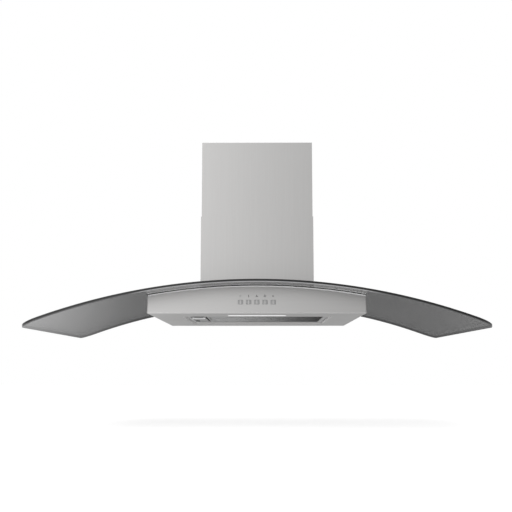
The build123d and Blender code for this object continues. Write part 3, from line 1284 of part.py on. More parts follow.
save(outlet_adapter(), "outlet_adapter")
save(damper_pin(), "damper_pin")
save(damper_flap(-1), "front_damper_flap")
save(damper_flap(1), "rear_damper_flap")
save(junction_box(), "junction_box")
save(junction_lid(), "junction_lid")
save(motor_capacitor(), "motor_capacitor")
save(led_driver(), "led_driver")
save(cable_gland(), "cable_gland")
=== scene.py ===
"""Looks of an island range hood: its materials, fine pieces, floor, light and camera.

Laid out as a Blender add-on. Each operator finishes one group of pieces around the fixed frame.
"""

import math

import bmesh
import bpy
from mathutils import Matrix, Vector


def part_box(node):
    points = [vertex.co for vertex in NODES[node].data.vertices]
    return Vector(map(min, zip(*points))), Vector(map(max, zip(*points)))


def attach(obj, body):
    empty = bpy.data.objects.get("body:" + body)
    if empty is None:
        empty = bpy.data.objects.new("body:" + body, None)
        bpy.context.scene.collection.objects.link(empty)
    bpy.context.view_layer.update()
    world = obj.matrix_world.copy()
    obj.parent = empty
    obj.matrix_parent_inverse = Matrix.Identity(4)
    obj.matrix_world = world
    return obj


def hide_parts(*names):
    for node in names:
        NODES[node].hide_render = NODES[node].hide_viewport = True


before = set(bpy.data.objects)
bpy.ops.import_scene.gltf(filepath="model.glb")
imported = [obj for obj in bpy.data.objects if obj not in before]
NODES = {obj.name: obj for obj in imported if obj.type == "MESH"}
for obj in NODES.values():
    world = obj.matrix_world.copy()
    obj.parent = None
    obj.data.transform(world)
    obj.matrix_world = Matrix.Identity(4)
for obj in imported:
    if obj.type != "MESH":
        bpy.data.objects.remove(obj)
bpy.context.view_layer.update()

bl_info = {
    "name": "Island Range Hood",
    "version": (1, 0, 0),
    "blender": (4, 5, 0),
    "location": "View3D > Sidebar > Hood",
    "description": "Finishes the range hood's steel, glass, filter and buttons, and lights it",
    "category": "Object",
}

MM = 0.001
GLASS_THICKNESS = 6 * MM
GLASS_DROP = 313.8 * MM  # from the ceiling down to the top of the glass arch
ARCH_RADIUS = 1234 * MM  # of the upper face of the glass
MOTOR_TUBE = 190 * MM  # outside width of the motor box where it passes through the glass


# ---------------------------------------------------------------- shader maths


class Value:
    """A shader value. An expression on it adds one Math node for each operator."""

    def __init__(self, shader, socket):
        self.shader = shader
        self.socket = socket

    def __add__(self, other):
        return self.shader.maths("ADD", self, other)

    __radd__ = __add__

    def __sub__(self, other):
        return self.shader.maths("SUBTRACT", self, other)

    def __rsub__(self, other):
        return self.shader.maths("SUBTRACT", other, self)

    def __mul__(self, other):
        return self.shader.maths("MULTIPLY", self, other)

    __rmul__ = __mul__

    def __truediv__(self, other):
        return self.shader.maths("DIVIDE", self, other)

    def __pow__(self, other):
        return self.shader.maths("POWER", self, other)

    def __abs__(self):
        return self.shader.maths("ABSOLUTE", self)

    def __lt__(self, other):
        return self.shader.maths("LESS_THAN", self, other)

    def clamped(self):
        return self.clamped_to(0.0, 1.0)

    def clamped_to(self, low, high):
        return self.shader.node("ShaderNodeClamp", {}, {0: self, 1: low, 2: high})


class NodeMaths:
    """Adds nodes to one node tree, a material's or the sky's."""

    def __init__(self, tree):
        self.tree = tree

    def node(self, kind, settings, inputs, output=0):
        """Adds a node: first its settings, then the values or links of its sockets."""
        made = self.tree.nodes.new(kind)
        for setting, value in settings.items():
            setattr(made, setting, value)
        for key, value in inputs.items():
            self.feed(made.inputs[key], value)
        return Value(self, made.outputs[output])

    def feed(self, socket, value):
        if isinstance(value, Value):
            self.tree.links.new(value.socket, socket)
        else:
            socket.default_value = value

    def maths(self, operation, *values):
        return self.node("ShaderNodeMath", {"operation": operation}, dict(enumerate(values)))

    def place(self):
        """The point on the piece, in metres, which rides with it."""
        return self.node("ShaderNodeTexCoord", {}, {}, "Object")

    def stretched(self, scale):
        """The point on the piece with each axis multiplied by its own number."""
        return self.node("ShaderNodeVectorMath", {"operation": "MULTIPLY"}, {0: self.place(), 1: scale})

    def axes(self, vector):
        """The three numbers of a vector, as separate values."""
        made = self.tree.nodes.new("ShaderNodeSeparateXYZ")
        self.feed(made.inputs[0], vector)
        return [Value(self, socket) for socket in made.outputs]

    def noise(self, vector, scale, detail=2.0, roughness=0.5):
        inputs = {"Vector": vector, "Scale": scale, "Detail": detail, "Roughness": roughness}
        return self.node("ShaderNodeTexNoise", {}, inputs)

    def cells(self, vector, scale, output="Distance", feature="F1"):
        inputs = {"Vector": vector, "Scale": scale}
        return self.node("ShaderNodeTexVoronoi", {"feature": feature}, inputs, output)

    def ramp(self, value, low, high):
        """Zero below low, one above high, and smooth between."""
        settings = {"interpolation_type": "SMOOTHSTEP"}
        return self.node("ShaderNodeMapRange", settings, {"Value": value, "From Min": low, "From Max": high})

    def mixed(self, share, first, second):
        """One colour turning into another."""
        inputs = {0: share, 6: first, 7: second}
        return self.node("ShaderNodeMix", {"data_type": "RGBA"}, inputs, 2)


class Shader(NodeMaths):
    """One material: a Principled shader and the nodes that vary over its surface."""

    def __init__(self, name, **constants):
        self.material = bpy.data.materials.new(name)
        self.material.use_nodes = True
        super().__init__(self.material.node_tree)
        self.principled = self.tree.nodes["Principled BSDF"]
        for socket, value in constants.items():
            self.put(socket.replace("_", " "), value)

    def put(self, socket, value):
        """Sets or links one socket of the Principled shader, whatever the case of its name."""
        names = {name.lower(): name for name in self.principled.inputs.keys()}
        self.feed(self.principled.inputs[names[socket.lower()]], value)

    def bump(self, height, distance, strength=1.0):
        inputs = {"Height": height, "Distance": distance, "Strength": strength}
        self.put("Normal", self.node("ShaderNodeBump", {}, inputs))


def grey(level, warmth=0.0):
    """A grey as linear colour from a display level of 0 to 255, slightly warm if asked."""
    linear = (level / 255.0) ** 2.2
    return (linear * (1 + warmth), linear, linear * (1 - warmth), 1.0)


# ---------------------------------------------------------------- materials

GRAIN_ALONG_X = (22.0, 2600.0, 2600.0)
GRAIN_ALONG_Z = (2600.0, 2600.0, 22.0)
GRAIN_HEIGHT = 0.03 * MM


def sheet_grain(steel, fine_scale, coarse_scale):
    """Streaks of the brushing. Each scale is how fast they change along X, Y and Z."""
    fine = steel.noise(steel.stretched(fine_scale), 1.0, 3.0, 0.65)
    coarse = steel.noise(steel.stretched(coarse_scale), 1.0, 2.0)
    return 0.6 * fine + 0.4 * coarse


def brushed_steel(name, across, level, roughness):
    """Stainless sheet. across is how fast its grain changes along X, Y and Z."""
    steel = Shader(name, metallic=1.0)
    handling = steel.noise(steel.place(), 6.0, 3.0)
    grain = sheet_grain(steel, across, [axis * 0.18 for axis in across])
    steel.put("Base Color", steel.mixed(grain, grey(level - 7, 0.006), grey(level + 7, 0.012)))
    steel.put("Roughness", roughness + 0.14 * (grain - 0.5) + 0.05 * (handling - 0.5))
    steel.bump(grain, GRAIN_HEIGHT, 0.5)
    return steel.material


def panel_steel(level, roughness):
    """The underside's sheet, matt on the upright edges round the filter where it was folded."""
    steel = Shader("brushed_panel")
    handling = steel.noise(steel.place(), 6.0, 3.0)
    grain = sheet_grain(steel, GRAIN_ALONG_X, (4.0, 470.0, 470.0))
    normal = steel.node("ShaderNodeTexCoord", {}, {}, "Normal")
    fold = 1 - steel.ramp(abs(steel.axes(normal)[2]), 0.3, 0.7)
    steel.put("Base Color", steel.mixed(grain, grey(level - 7, 0.006), grey(level + 7, 0.012)))
    steel.put("Metallic", 1 - 0.85 * fold)
    steel.put("Roughness", roughness + 0.14 * (grain - 0.5) + 0.05 * (handling - 0.5) + 0.2 * fold)
    steel.bump(grain, GRAIN_HEIGHT, 0.5)
    return steel.material


def button_steel(pitch, level=186):
    """Push-button steel with a darker satin strip down each side of the face.

    Each strip begins about a millimetre from the middle of its button.
    """
    steel = Shader("button_steel", metallic=1.0)
    grain = steel.noise(steel.stretched((26.0, 2600.0, 2600.0)), 1.0, 3.0, 0.65)
    x = steel.axes(steel.place())[0]
    nearest = steel.maths("ROUND", x / pitch) * pitch
    grip = steel.ramp(abs(x - nearest), 0.7 * MM, 1.3 * MM)
    polished = steel.mixed(grain, grey(level - 6, 0.006), grey(level + 6, 0.012))
    satin = steel.mixed(grain, grey(level - 26), grey(level - 16))
    steel.put("Base Color", steel.mixed(grip, polished, satin))
    steel.put("Roughness", 0.3 + 0.14 * (grain - 0.5) + 0.14 * grip)
    steel.bump(grain, GRAIN_HEIGHT, 0.5)
    return steel.material


def galvanised_steel(level=176):
    """Zinc-coated sheet with its spangle of flat crystals."""
    zinc = Shader("galvanised_sheet", metallic=1.0)
    crystals = zinc.cells(zinc.place(), 95.0, "Color")
    tone = zinc.axes(crystals)[0]
    dull = zinc.noise(zinc.place(), 14.0, 4.0)
    zinc.put("Base Color", zinc.mixed(0.6 * tone + 0.4 * dull, grey(level - 26), grey(level + 12)))
    zinc.put("Roughness", 0.34 + 0.16 * tone + 0.1 * (dull - 0.5))
    return zinc.material


def bright_steel():
    """Zinc-plated screws, pins and the shaft."""
    steel = Shader("bright_steel", metallic=1.0)
    haze = steel.noise(steel.place(), 300.0, 3.0)
    steel.put("Base Color", steel.mixed(haze, grey(176, 0.01), grey(206, 0.02)))
    steel.put("Roughness", 0.2 + 0.16 * haze)
    return steel.material


def soft_plastic(name, colour, roughness, grain_scale, coat=0.0):
    """A moulded plastic or rubber with a fine spark-eroded texture."""
    plastic = Shader(name, coat_weight=coat, specular_ior_level=0.45)
    pitted = plastic.noise(plastic.place(), grain_scale, 2.0, 0.6)
    worn = plastic.noise(plastic.place(), 22.0, 3.0)
    dark = [channel * 0.86 for channel in colour[:3]] + [1.0]
    plastic.put("Base Color", plastic.mixed(0.5 * pitted + 0.5 * worn, dark, colour))
    plastic.put("Roughness", roughness + 0.16 * (pitted - 0.5) + 0.08 * (worn - 0.5))
    plastic.bump(pitted, 0.06 * MM, 0.5)
    return plastic.material


def satin_aluminium(name, level):
    """Rolled aluminium of the filter and the light's housing."""
    metal = Shader(name, metallic=1.0)
    rolled = metal.noise(metal.stretched((60.0, 900.0, 900.0)), 1.0, 3.0)
    grey_shift = metal.noise(metal.place(), 18.0, 3.0)
    tone = 0.5 * rolled + 0.5 * grey_shift
    metal.put("Base Color", metal.mixed(tone, grey(level - 14), grey(level + 10)))
    metal.put("Roughness", 0.34 + 0.14 * (rolled - 0.5) + 0.1 * grey_shift)
    metal.bump(rolled, GRAIN_HEIGHT, 0.4)
    return metal.material


def mesh_aluminium(settings):
    """Aluminium of the filter's layers, with painted light and shade: a lit grey by the latch, turning to a
    shaded grey towards the hinge.
    """
    metal = Shader("mesh_aluminium", metallic=1.0)
    low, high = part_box("filter_mesh")
    x = metal.axes(metal.place())[0]
    cloud = metal.noise(metal.place(), 30.0, 3.0)
    shade_start, shade_end, wander = low.x - 20 * MM, high.x + 30 * MM, 20 * MM
    # painted shade: the mesh darkens from the latch towards the hinge, along a wavy boundary
    grey_shift = metal.ramp(x + wander * (cloud - 0.5), shade_start, shade_end)
    lit_grey, shaded_grey = grey(settings.mesh_painted_lit), grey(settings.mesh_painted_shade)
    metal.put("Base Color", metal.mixed(grey_shift, lit_grey, shaded_grey))
    metal.put("Roughness", 0.36 + 0.12 * grey_shift + 0.1 * (cloud - 0.5))
    metal.bump(cloud, 0.04 * MM, 0.4)
    return metal.material


def latch_plastic():
    """Moulded slide of the latch in one plastic, painted in lit and shaded tones: a pale finger bar and
    knob, with painted shade over the plate and in a dark ring round the knob.
    """
    slide = Shader("latch_slide_plastic", specular_ior_level=0.45, coat_weight=0.1)
    x, y, _ = slide.axes(slide.place())
    low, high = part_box("latch_slide")
    knob_middle = (low.x + 18.5 * MM, high.y - 33.2 * MM)
    bar_end = low.y + 10.5 * MM
    knob_x = x - knob_middle[0]
    knob_y = y - knob_middle[1]
    away = (knob_x * knob_x + knob_y * knob_y) ** 0.5
    past_knob = slide.ramp(away, 4.3 * MM, 4.7 * MM)
    # painted shade: a dark ring round the knob
    ring = (1 - slide.ramp(away, 5.6 * MM, 6.2 * MM)) * past_knob
    # painted shade over the plate behind the pale, lit finger bar
    plate = slide.ramp(y, bar_end, bar_end + 1.5 * MM)
    knob = 1 - past_knob
    pitted = slide.noise(slide.place(), 1400.0, 2.0)
    # lit tones on the finger bar and knob, painted shade on the plate and the ring
    tone = slide.mixed(plate, grey(222), grey(112))
    tone = slide.mixed(knob, tone, grey(190))
    slide.put("Base Color", slide.mixed(ring, tone, grey(92)))
    slide.put("Roughness", 0.36 + 0.16 * (pitted - 0.5) + 0.1 * plate)
    slide.bump(pitted, 0.05 * MM, 0.4)
    return slide.material


def smoked_glass(settings):
    """Grey-tinted glass. Its edge is almost black, with a paler painted reflection of the floor on the lower
    bevel near the middle.
    """
    tint = tuple(settings.glass_tint) + (1.0,)
    bevel_reflection_tint = tuple(settings.bevel_reflection_tint) + (1.0,)
    half = settings.reflection_half_width
    glass = Shader("smoked_glass", ior=1.52, specular_ior_level=0.5)
    x, _, z = glass.axes(glass.place())
    normal = glass.node("ShaderNodeTexCoord", {}, {}, "Normal")
    lift = z - settings.arch_centre
    reach = (x * x + lift * lift) ** 0.5
    nx, _, nz = glass.axes(normal)
    facing = abs((nx * x + nz * lift) / reach)
    rim = 1 - glass.ramp(facing, 0.55, 0.93)
    # painted reflection of the floor on the lower bevel, full near the middle and weaker towards the sides
    bevel_reflection = glass.ramp(settings.arch_radius - reach, 3.6 * MM, 5.0 * MM)
    bevel_reflection = bevel_reflection * (1 - 0.75 * glass.ramp(abs(x), half, half + 50 * MM))
    dust = glass.noise(glass.place(), 9.0, 4.0)
    edge = glass.mixed(bevel_reflection, grey(14), bevel_reflection_tint)
    glass.put("Base Color", glass.mixed(rim, tint, edge))
    glass.put("Alpha", (settings.glass_cover + 0.02 * (dust - 0.5) + rim).clamped())
    glass.put("Roughness", 0.05 + 0.04 * dust + 0.3 * rim)
    return glass.material


def seal(settings):
    """Pale foam seal between the body and the glass, with painted shade as a dark band in its top
    millimetre, where it meets the glass.
    """
    foam = Shader("foam_seal", specular_ior_level=0.3)
    x, _, z = foam.axes(foam.place())
    lift = z - settings.arch_centre
    depth = settings.arch_radius - (x * x + lift * lift) ** 0.5
    # painted shade: the seal's top millimetre is dark where it meets the glass
    junction_shade = 1 - foam.ramp(depth, 6.9 * MM, 7.3 * MM)
    pores = foam.noise(foam.place(), 900.0, 2.0)
    foam.put("Base Color", foam.mixed(junction_shade, grey(232), grey(26)))
    foam.put("Roughness", 0.66 + 0.2 * (pores - 0.5))
    foam.bump(pores, 0.08 * MM, 0.5)
    return foam.material


def light_diffuser(settings):
    """Frosted strip, brighter over each of the lights behind it."""
    strip = Shader("light_diffuser", emission_strength=settings.light_glow)
    frost = strip.noise(strip.place(), 700.0, 2.0)
    x = strip.axes(strip.place())[0]
    pool = strip.maths("COSINE", x * (2 * math.pi / settings.light_pitch)) * 0.5 + 0.5
    strip.put("Base Color", strip.mixed(frost, grey(226), grey(238)))
    strip.put("Emission Color", strip.mixed(pool, grey(236), grey(255)))
    strip.put("Roughness", 0.42 + 0.1 * frost)
    return strip.material


def circuit_board():
    """Green lacquered board with copper tracks under the lacquer."""
    board = Shader("circuit_board", coat_weight=0.4)
    tracks = board.cells(board.place(), 420.0, feature="DISTANCE_TO_EDGE") < 0.06
    board.put("Base Color", board.mixed(tracks, (0.01, 0.10, 0.035, 1), (0.03, 0.20, 0.07, 1)))
    board.put("Roughness", 0.35 + 0.15 * tracks)
    board.bump(tracks, 0.04 * MM)
    return board.material


def laminations():
    """Stacked sheet of the motor's stator, seen edge on."""
    stack = Shader("laminations", metallic=0.8)
    sheet = 0.5 * MM
    x = stack.axes(stack.place())[0]
    layer = stack.maths("SINE", x * (2 * math.pi / sheet)) * 0.5 + 0.5
    rust = stack.noise(stack.place(), 120.0, 4.0)
    stack.put("Base Color", stack.mixed(rust, grey(70), grey(112, 0.05)))
    stack.put("Roughness", 0.5 + 0.2 * layer)
    stack.bump(layer, 0.08 * MM)
    return stack.material


def cast_metal(name, colour, roughness):
    """Die-cast or sintered metal."""
    metal = Shader(name, metallic=1.0)
    skin = metal.noise(metal.place(), 260.0, 4.0, 0.6)
    dark = [channel * 0.75 for channel in colour[:3]] + [1.0]
    metal.put("Base Color", metal.mixed(skin, dark, colour))
    metal.put("Roughness", roughness + 0.2 * (skin - 0.5))
    metal.bump(skin, 0.06 * MM, 0.6)
    return metal.material


def dress(material, *names):
    """Gives CAD nodes a material through their objects' own slots."""
    for name in names:
        piece = NODES[name]
        if not piece.material_slots:
            piece.data.materials.append(None)
        for slot in piece.material_slots:
            slot.link = "OBJECT"
            slot.material = material


# ---------------------------------------------------------------- mesh helpers


def new_piece(name, mesh, material, body, smooth_angle=None):
    """Makes a visible piece that rides on a body and takes the given material."""
    piece = bpy.data.objects.new(name, mesh)
    bpy.context.scene.collection.objects.link(piece)
    piece.data.materials.append(material)
    if smooth_angle is not None:
        for polygon in mesh.polygons:
            polygon.use_smooth = True
        mesh.set_sharp_from_angle(angle=smooth_angle)
    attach(piece, body)
    return piece


def mesh_from(name, build):
    """Runs a bmesh builder and returns its mesh."""
    work = bmesh.new()
    build(work)
    bmesh.ops.recalc_face_normals(work, faces=work.faces)
    mesh = bpy.data.meshes.new(name)
    work.to_mesh(mesh)
    work.free()
    return mesh


def ring_pairs(ring):
    """Each item of a closed ring with the next one."""
    return zip(ring, ring[1:] + ring[:1])


def rounded_rectangle(width, depth, radius, steps):
    """Points round a centred rectangle with round corners, anticlockwise from the right side."""
    points = []
    for quarter, (sx, sy) in enumerate(((1, 1), (-1, 1), (-1, -1), (1, -1))):
        cx = sx * (width / 2 - radius)
        cy = sy * (depth / 2 - radius)
        for step in range(steps + 1):
            angle = math.radians(90 * (quarter + step / steps))
            points.append((cx + radius * math.cos(angle), cy + radius * math.sin(angle)))
    return points


# ---------------------------------------------------------------- settings


class HoodSettings(bpy.types.PropertyGroup):
    """Sizes and colours of the hood's finish."""

    steel_level: bpy.props.IntProperty(
        name="Steel brightness", description="Display grey of the steel", default=190
    )
    steel_roughness: bpy.props.FloatProperty(
        name="Steel roughness", description="Mean roughness of the brushed sheet", default=0.36
    )
    glass_tint: bpy.props.FloatVectorProperty(
        name="Glass tint", description="Colour of the glass's haze",
        subtype="COLOR", default=(0.028, 0.028, 0.029),
    )
    glass_cover: bpy.props.FloatProperty(
        name="Glass cover", description="How much one face of the glass hides", default=0.75
    )
    # colour of the painted reflection on the edge's lower bevel
    bevel_reflection_tint: bpy.props.FloatVectorProperty(
        name="Bevel tint", description="Colour of the edge's lower bevel",
        subtype="COLOR", default=(0.32, 0.32, 0.325),
    )
    # half width, across the hood, of the middle part where the painted reflection on the bevel is full
    reflection_half_width: bpy.props.FloatProperty(
        name="Bevel half", description="Half width of the edge's pale bevel", unit="LENGTH", default=0.2
    )
    arch_centre: bpy.props.FloatProperty(
        name="Arch centre", description="Height of the centre of the glass arch",
        unit="LENGTH", default=-(GLASS_DROP + ARCH_RADIUS),
    )
    arch_radius: bpy.props.FloatProperty(
        name="Arch radius", description="Radius of the upper face of the glass",
        unit="LENGTH", default=ARCH_RADIUS,
    )
    glass_corner: bpy.props.FloatProperty(
        name="Glass corner", description="Plan radius of the glass's corners",
        unit="LENGTH", default=0.036,
    )
    rim_radius: bpy.props.FloatProperty(
        name="Rim radius", description="Polished round along the glass's edges",
        unit="LENGTH", default=0.0012,
    )
    light_glow: bpy.props.FloatProperty(
        name="Light glow", description="Emission of the light strip", default=0.17
    )
    light_pitch: bpy.props.FloatProperty(
        name="Light pitch", description="Spacing of the lights behind the strip",
        unit="LENGTH", default=0.01233,
    )
    mesh_pitch: bpy.props.FloatProperty(
        name="Mesh pitch", description="Length of one opening of the filter mesh",
        unit="LENGTH", default=0.0062,
    )
    mesh_strand: bpy.props.FloatProperty(
        name="Mesh strand", description="Width of the filter mesh's strands",
        unit="LENGTH", default=0.0011,
    )
    # grey of the painted lit part of the mesh, by the latch
    mesh_painted_lit: bpy.props.IntProperty(
        name="Clean mesh", description="Display grey of the mesh beside the latch", default=226
    )
    # grey of the painted shade on the mesh, by the hinge
    mesh_painted_shade: bpy.props.IntProperty(
        name="Dulled mesh", description="Display grey of the mesh beside the hinge", default=62
    )
    icon_rise: bpy.props.FloatProperty(
        name="Icon rise", description="Thickness of the printed icons", unit="LENGTH", default=0.00015
    )


def hood_settings():
    return bpy.context.scene.hood_settings


# ---------------------------------------------------------------- operators


class HOOD_OT_steel(bpy.types.Operator):
    """Finish the chimney, body, panel and the frame inside"""

    bl_idname = "hood.steel"
    bl_label = "Steel"

    def execute(self, context):
        level = hood_settings().steel_level
        rough = hood_settings().steel_roughness
        upright = brushed_steel("brushed_upright", GRAIN_ALONG_Z, level, rough)
        level_grain = brushed_steel("brushed_level", GRAIN_ALONG_X, level, rough)
        dress(upright, "upper_chimney", "lower_chimney")
        dress(level_grain, "canopy_body")
        dress(panel_steel(level, rough), "underside_panel")
        rails = [name for name in NODES if "_rail_" in name]
        box = ["ceiling_plate", "box_lid", "motor_box", "glass_clamp", "hinge_brackets", "motor_bracket"]
        fan = ["scroll_wrap", "scroll_plate_left", "scroll_plate_right"]
        fan += ["impeller_disc", "impeller_blades", "impeller_rings"]
        dress(galvanised_steel(), *rails, *box, *fan)
        dress(bright_steel(), "frame_screws", "box_screws", "clamp_screws", "motor_shaft", "damper_pin")
        return {"FINISHED"}


class HOOD_OT_inside(bpy.types.Operator):
    """Finish the motor, outlet, electrics and seals"""

    bl_idname = "hood.inside"
    bl_label = "Inside"

    def execute(self, context):
        dress(soft_plastic("black_rubber", grey(34), 0.72, 900.0), "motor_mounts")
        dress(seal(hood_settings()), "glass_gasket")
        dark = soft_plastic("dark_plastic", grey(52), 0.5, 1300.0)
        dress(dark, "switch_housing", "junction_box", "junction_lid", "led_driver")
        moulded = soft_plastic("grey_plastic", grey(118), 0.48, 1200.0)
        dress(moulded, "outlet_adapter", "front_damper_flap", "rear_damper_flap", "cable_gland")
        dress(soft_plastic("white_plastic", grey(222, 0.01), 0.34, 1500.0, 0.2), "motor_capacitor")
        dress(circuit_board(), "led_board", "switch_board")
        dress(laminations(), "motor_stator")
        dress(cast_metal("motor_case_metal", grey(150), 0.46), "motor_case")
        dress(cast_metal("rotor_metal", grey(168), 0.4), "motor_rotor")
        dress(cast_metal("bearing_bronze", (0.35, 0.2, 0.07, 1.0), 0.42), "motor_bearings")
        return {"FINISHED"}


class HOOD_OT_glass(bpy.types.Operator):
    """Make the arched glass plate with its polished rims"""

    bl_idname = "hood.glass"
    bl_label = "Glass"

    corner_steps: bpy.props.IntProperty(
        name="Corner steps", description="Divisions of each round corner", default=10
    )
    arch_steps: bpy.props.IntProperty(
        name="Arch steps", description="Divisions across the width", default=72
    )
    rim_steps: bpy.props.IntProperty(
        name="Rim steps", description="Divisions of each polished round", default=4
    )
    hole_gap: bpy.props.FloatProperty(
        name="Hole gap", description="Gap round the motor box", unit="LENGTH", default=0.004
    )
    hole_corner: bpy.props.FloatProperty(
        name="Hole corner", description="Radius of the hole's corners", unit="LENGTH", default=0.012
    )

    def execute(self, context):
        mesh = mesh_from("glass_plate", self.build)
        glass = smoked_glass(hood_settings())
        piece = new_piece("glass_plate", mesh, glass, "hood", math.radians(50))
        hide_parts("glass_canopy")
        return {"FINISHED"}

    def rings(self, thickness):
        """Inset and depth of each ring round the rim, from the upper face to the underside."""
        round_off = hood_settings().rim_radius
        flat = 2 * MM
        quarter = [math.radians(90 * step / self.rim_steps) for step in range(self.rim_steps + 1)]
        upper = [(round_off * (1 - math.sin(a)), round_off * (1 - math.cos(a))) for a in quarter]
        lower = [(inset, thickness - depth) for inset, depth in reversed(upper)]
        return [(flat, 0.0)] + upper + lower + [(flat, thickness)]

    def build(self, work):
        """Draws the plate flat in plan with its depth as Z, slices it across and bends it to the arch."""
        low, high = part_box("glass_canopy")
        width, depth = high.x - low.x, high.y - low.y
        s = hood_settings()
        hole = MOTOR_TUBE + 2 * self.hole_gap
        loops = []
        for inset, down in self.rings(GLASS_THICKNESS):
            corner = s.glass_corner - inset
            plan = rounded_rectangle(width - 2 * inset, depth - 2 * inset, corner, self.corner_steps)
            loops.append([work.verts.new((x, y, down)) for x, y in plan])
        for first, second in zip(loops, loops[1:]):
            for (a, b), (c, d) in zip(ring_pairs(first), ring_pairs(second)):
                work.faces.new((a, b, d, c))
        plan = rounded_rectangle(hole, hole, self.hole_corner, self.corner_steps)
        upper = [work.verts.new((x, y, 0.0)) for x, y in plan]
        lower = [work.verts.new((x, y, GLASS_THICKNESS)) for x, y in plan]
        for (a, b), (c, d) in zip(ring_pairs(upper), ring_pairs(lower)):
            work.faces.new((a, b, d, c))
        for outer, inner in ((loops[0], upper), (loops[-1], lower)):
            edges = [work.edges.get(pair) for loop in (outer, inner) for pair in ring_pairs(loop)]
            bmesh.ops.triangle_fill(work, edges=edges, use_beauty=True)
        for step in range(1, self.arch_steps):
            x = -width / 2 + width * step / self.arch_steps
            whole = work.verts[:] + work.edges[:] + work.faces[:]
            bmesh.ops.bisect_plane(work, geom=whole, dist=1e-7, plane_co=(x, 0, 0), plane_no=(1, 0, 0))
        for vert in work.verts:
            radius = s.arch_radius - vert.co.z
            vert.co.z = s.arch_centre + math.sqrt(radius**2 - vert.co.x**2)


class HOOD_OT_filter(bpy.types.Operator):
    """Make the filter's expanded mesh and finish its frame and latch"""

    bl_idname = "hood.filter"
    bl_label = "Filter"

    def execute(self, context):
        dress(satin_aluminium("filter_aluminium", 176), "filter_frame", "led_housing")
        dress(soft_plastic("latch_plastic", grey(116), 0.46, 1400.0), "latch_cup")
        dress(latch_plastic(), "latch_slide")
        s = hood_settings()
        metal = mesh_aluminium(s)
        backing_pitch = 1.7 * s.mesh_pitch
        layers = (
            ("filter_mesh", "expanded_mesh", s.mesh_pitch),
            ("filter_backing", "backing_mesh", backing_pitch),
        )
        for node, name, pitch in layers:
            mesh = mesh_from(name, lambda work: self.expand(work, node, pitch))
            piece = new_piece(name, mesh, metal, "filter")
            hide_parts(node)
        return {"FINISHED"}

    def expand(self, work, node, pitch):
        """Zigzag strands side by side that meet at every other bend, as in slit and stretched sheet."""
        low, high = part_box(node)
        strand = hood_settings().mesh_strand
        row = 0.58 * pitch
        half_bond = 0.09 * pitch
        rows = int((high.y - low.y - strand) / row)
        bends = int((high.x - low.x) / (pitch / 2))
        start_y = (low.y + high.y) / 2 - (rows - 1) * row / 2
        start_x = (low.x + high.x) / 2 - bends * pitch / 4
        swing = (row - strand) / 2
        for number in range(rows):
            middle = start_y + number * row
            sections = []
            for bend in range(bends + 1):
                up = 1 if (bend + number) % 2 else -1
                x = start_x + bend * pitch / 2
                y = middle + up * swing
                sections += [(x - half_bond, y), (x + half_bond, y)]
            self.strand(work, sections, strand / 2, low.z, high.z)

    def strand(self, work, path, half, low, high):
        """One flat strand of rectangular section that follows a path in plan."""
        previous = None
        for x, y in path:
            corners = ((y - half, low), (y + half, low), (y + half, high), (y - half, high))
            section = [work.verts.new((x, side, height)) for side, height in corners]
            if previous:
                for (a, b), (c, d) in zip(ring_pairs(previous), ring_pairs(section)):
                    work.faces.new((a, b, d, c))
            else:
                work.faces.new(section)
            previous = section
        work.faces.new(previous)


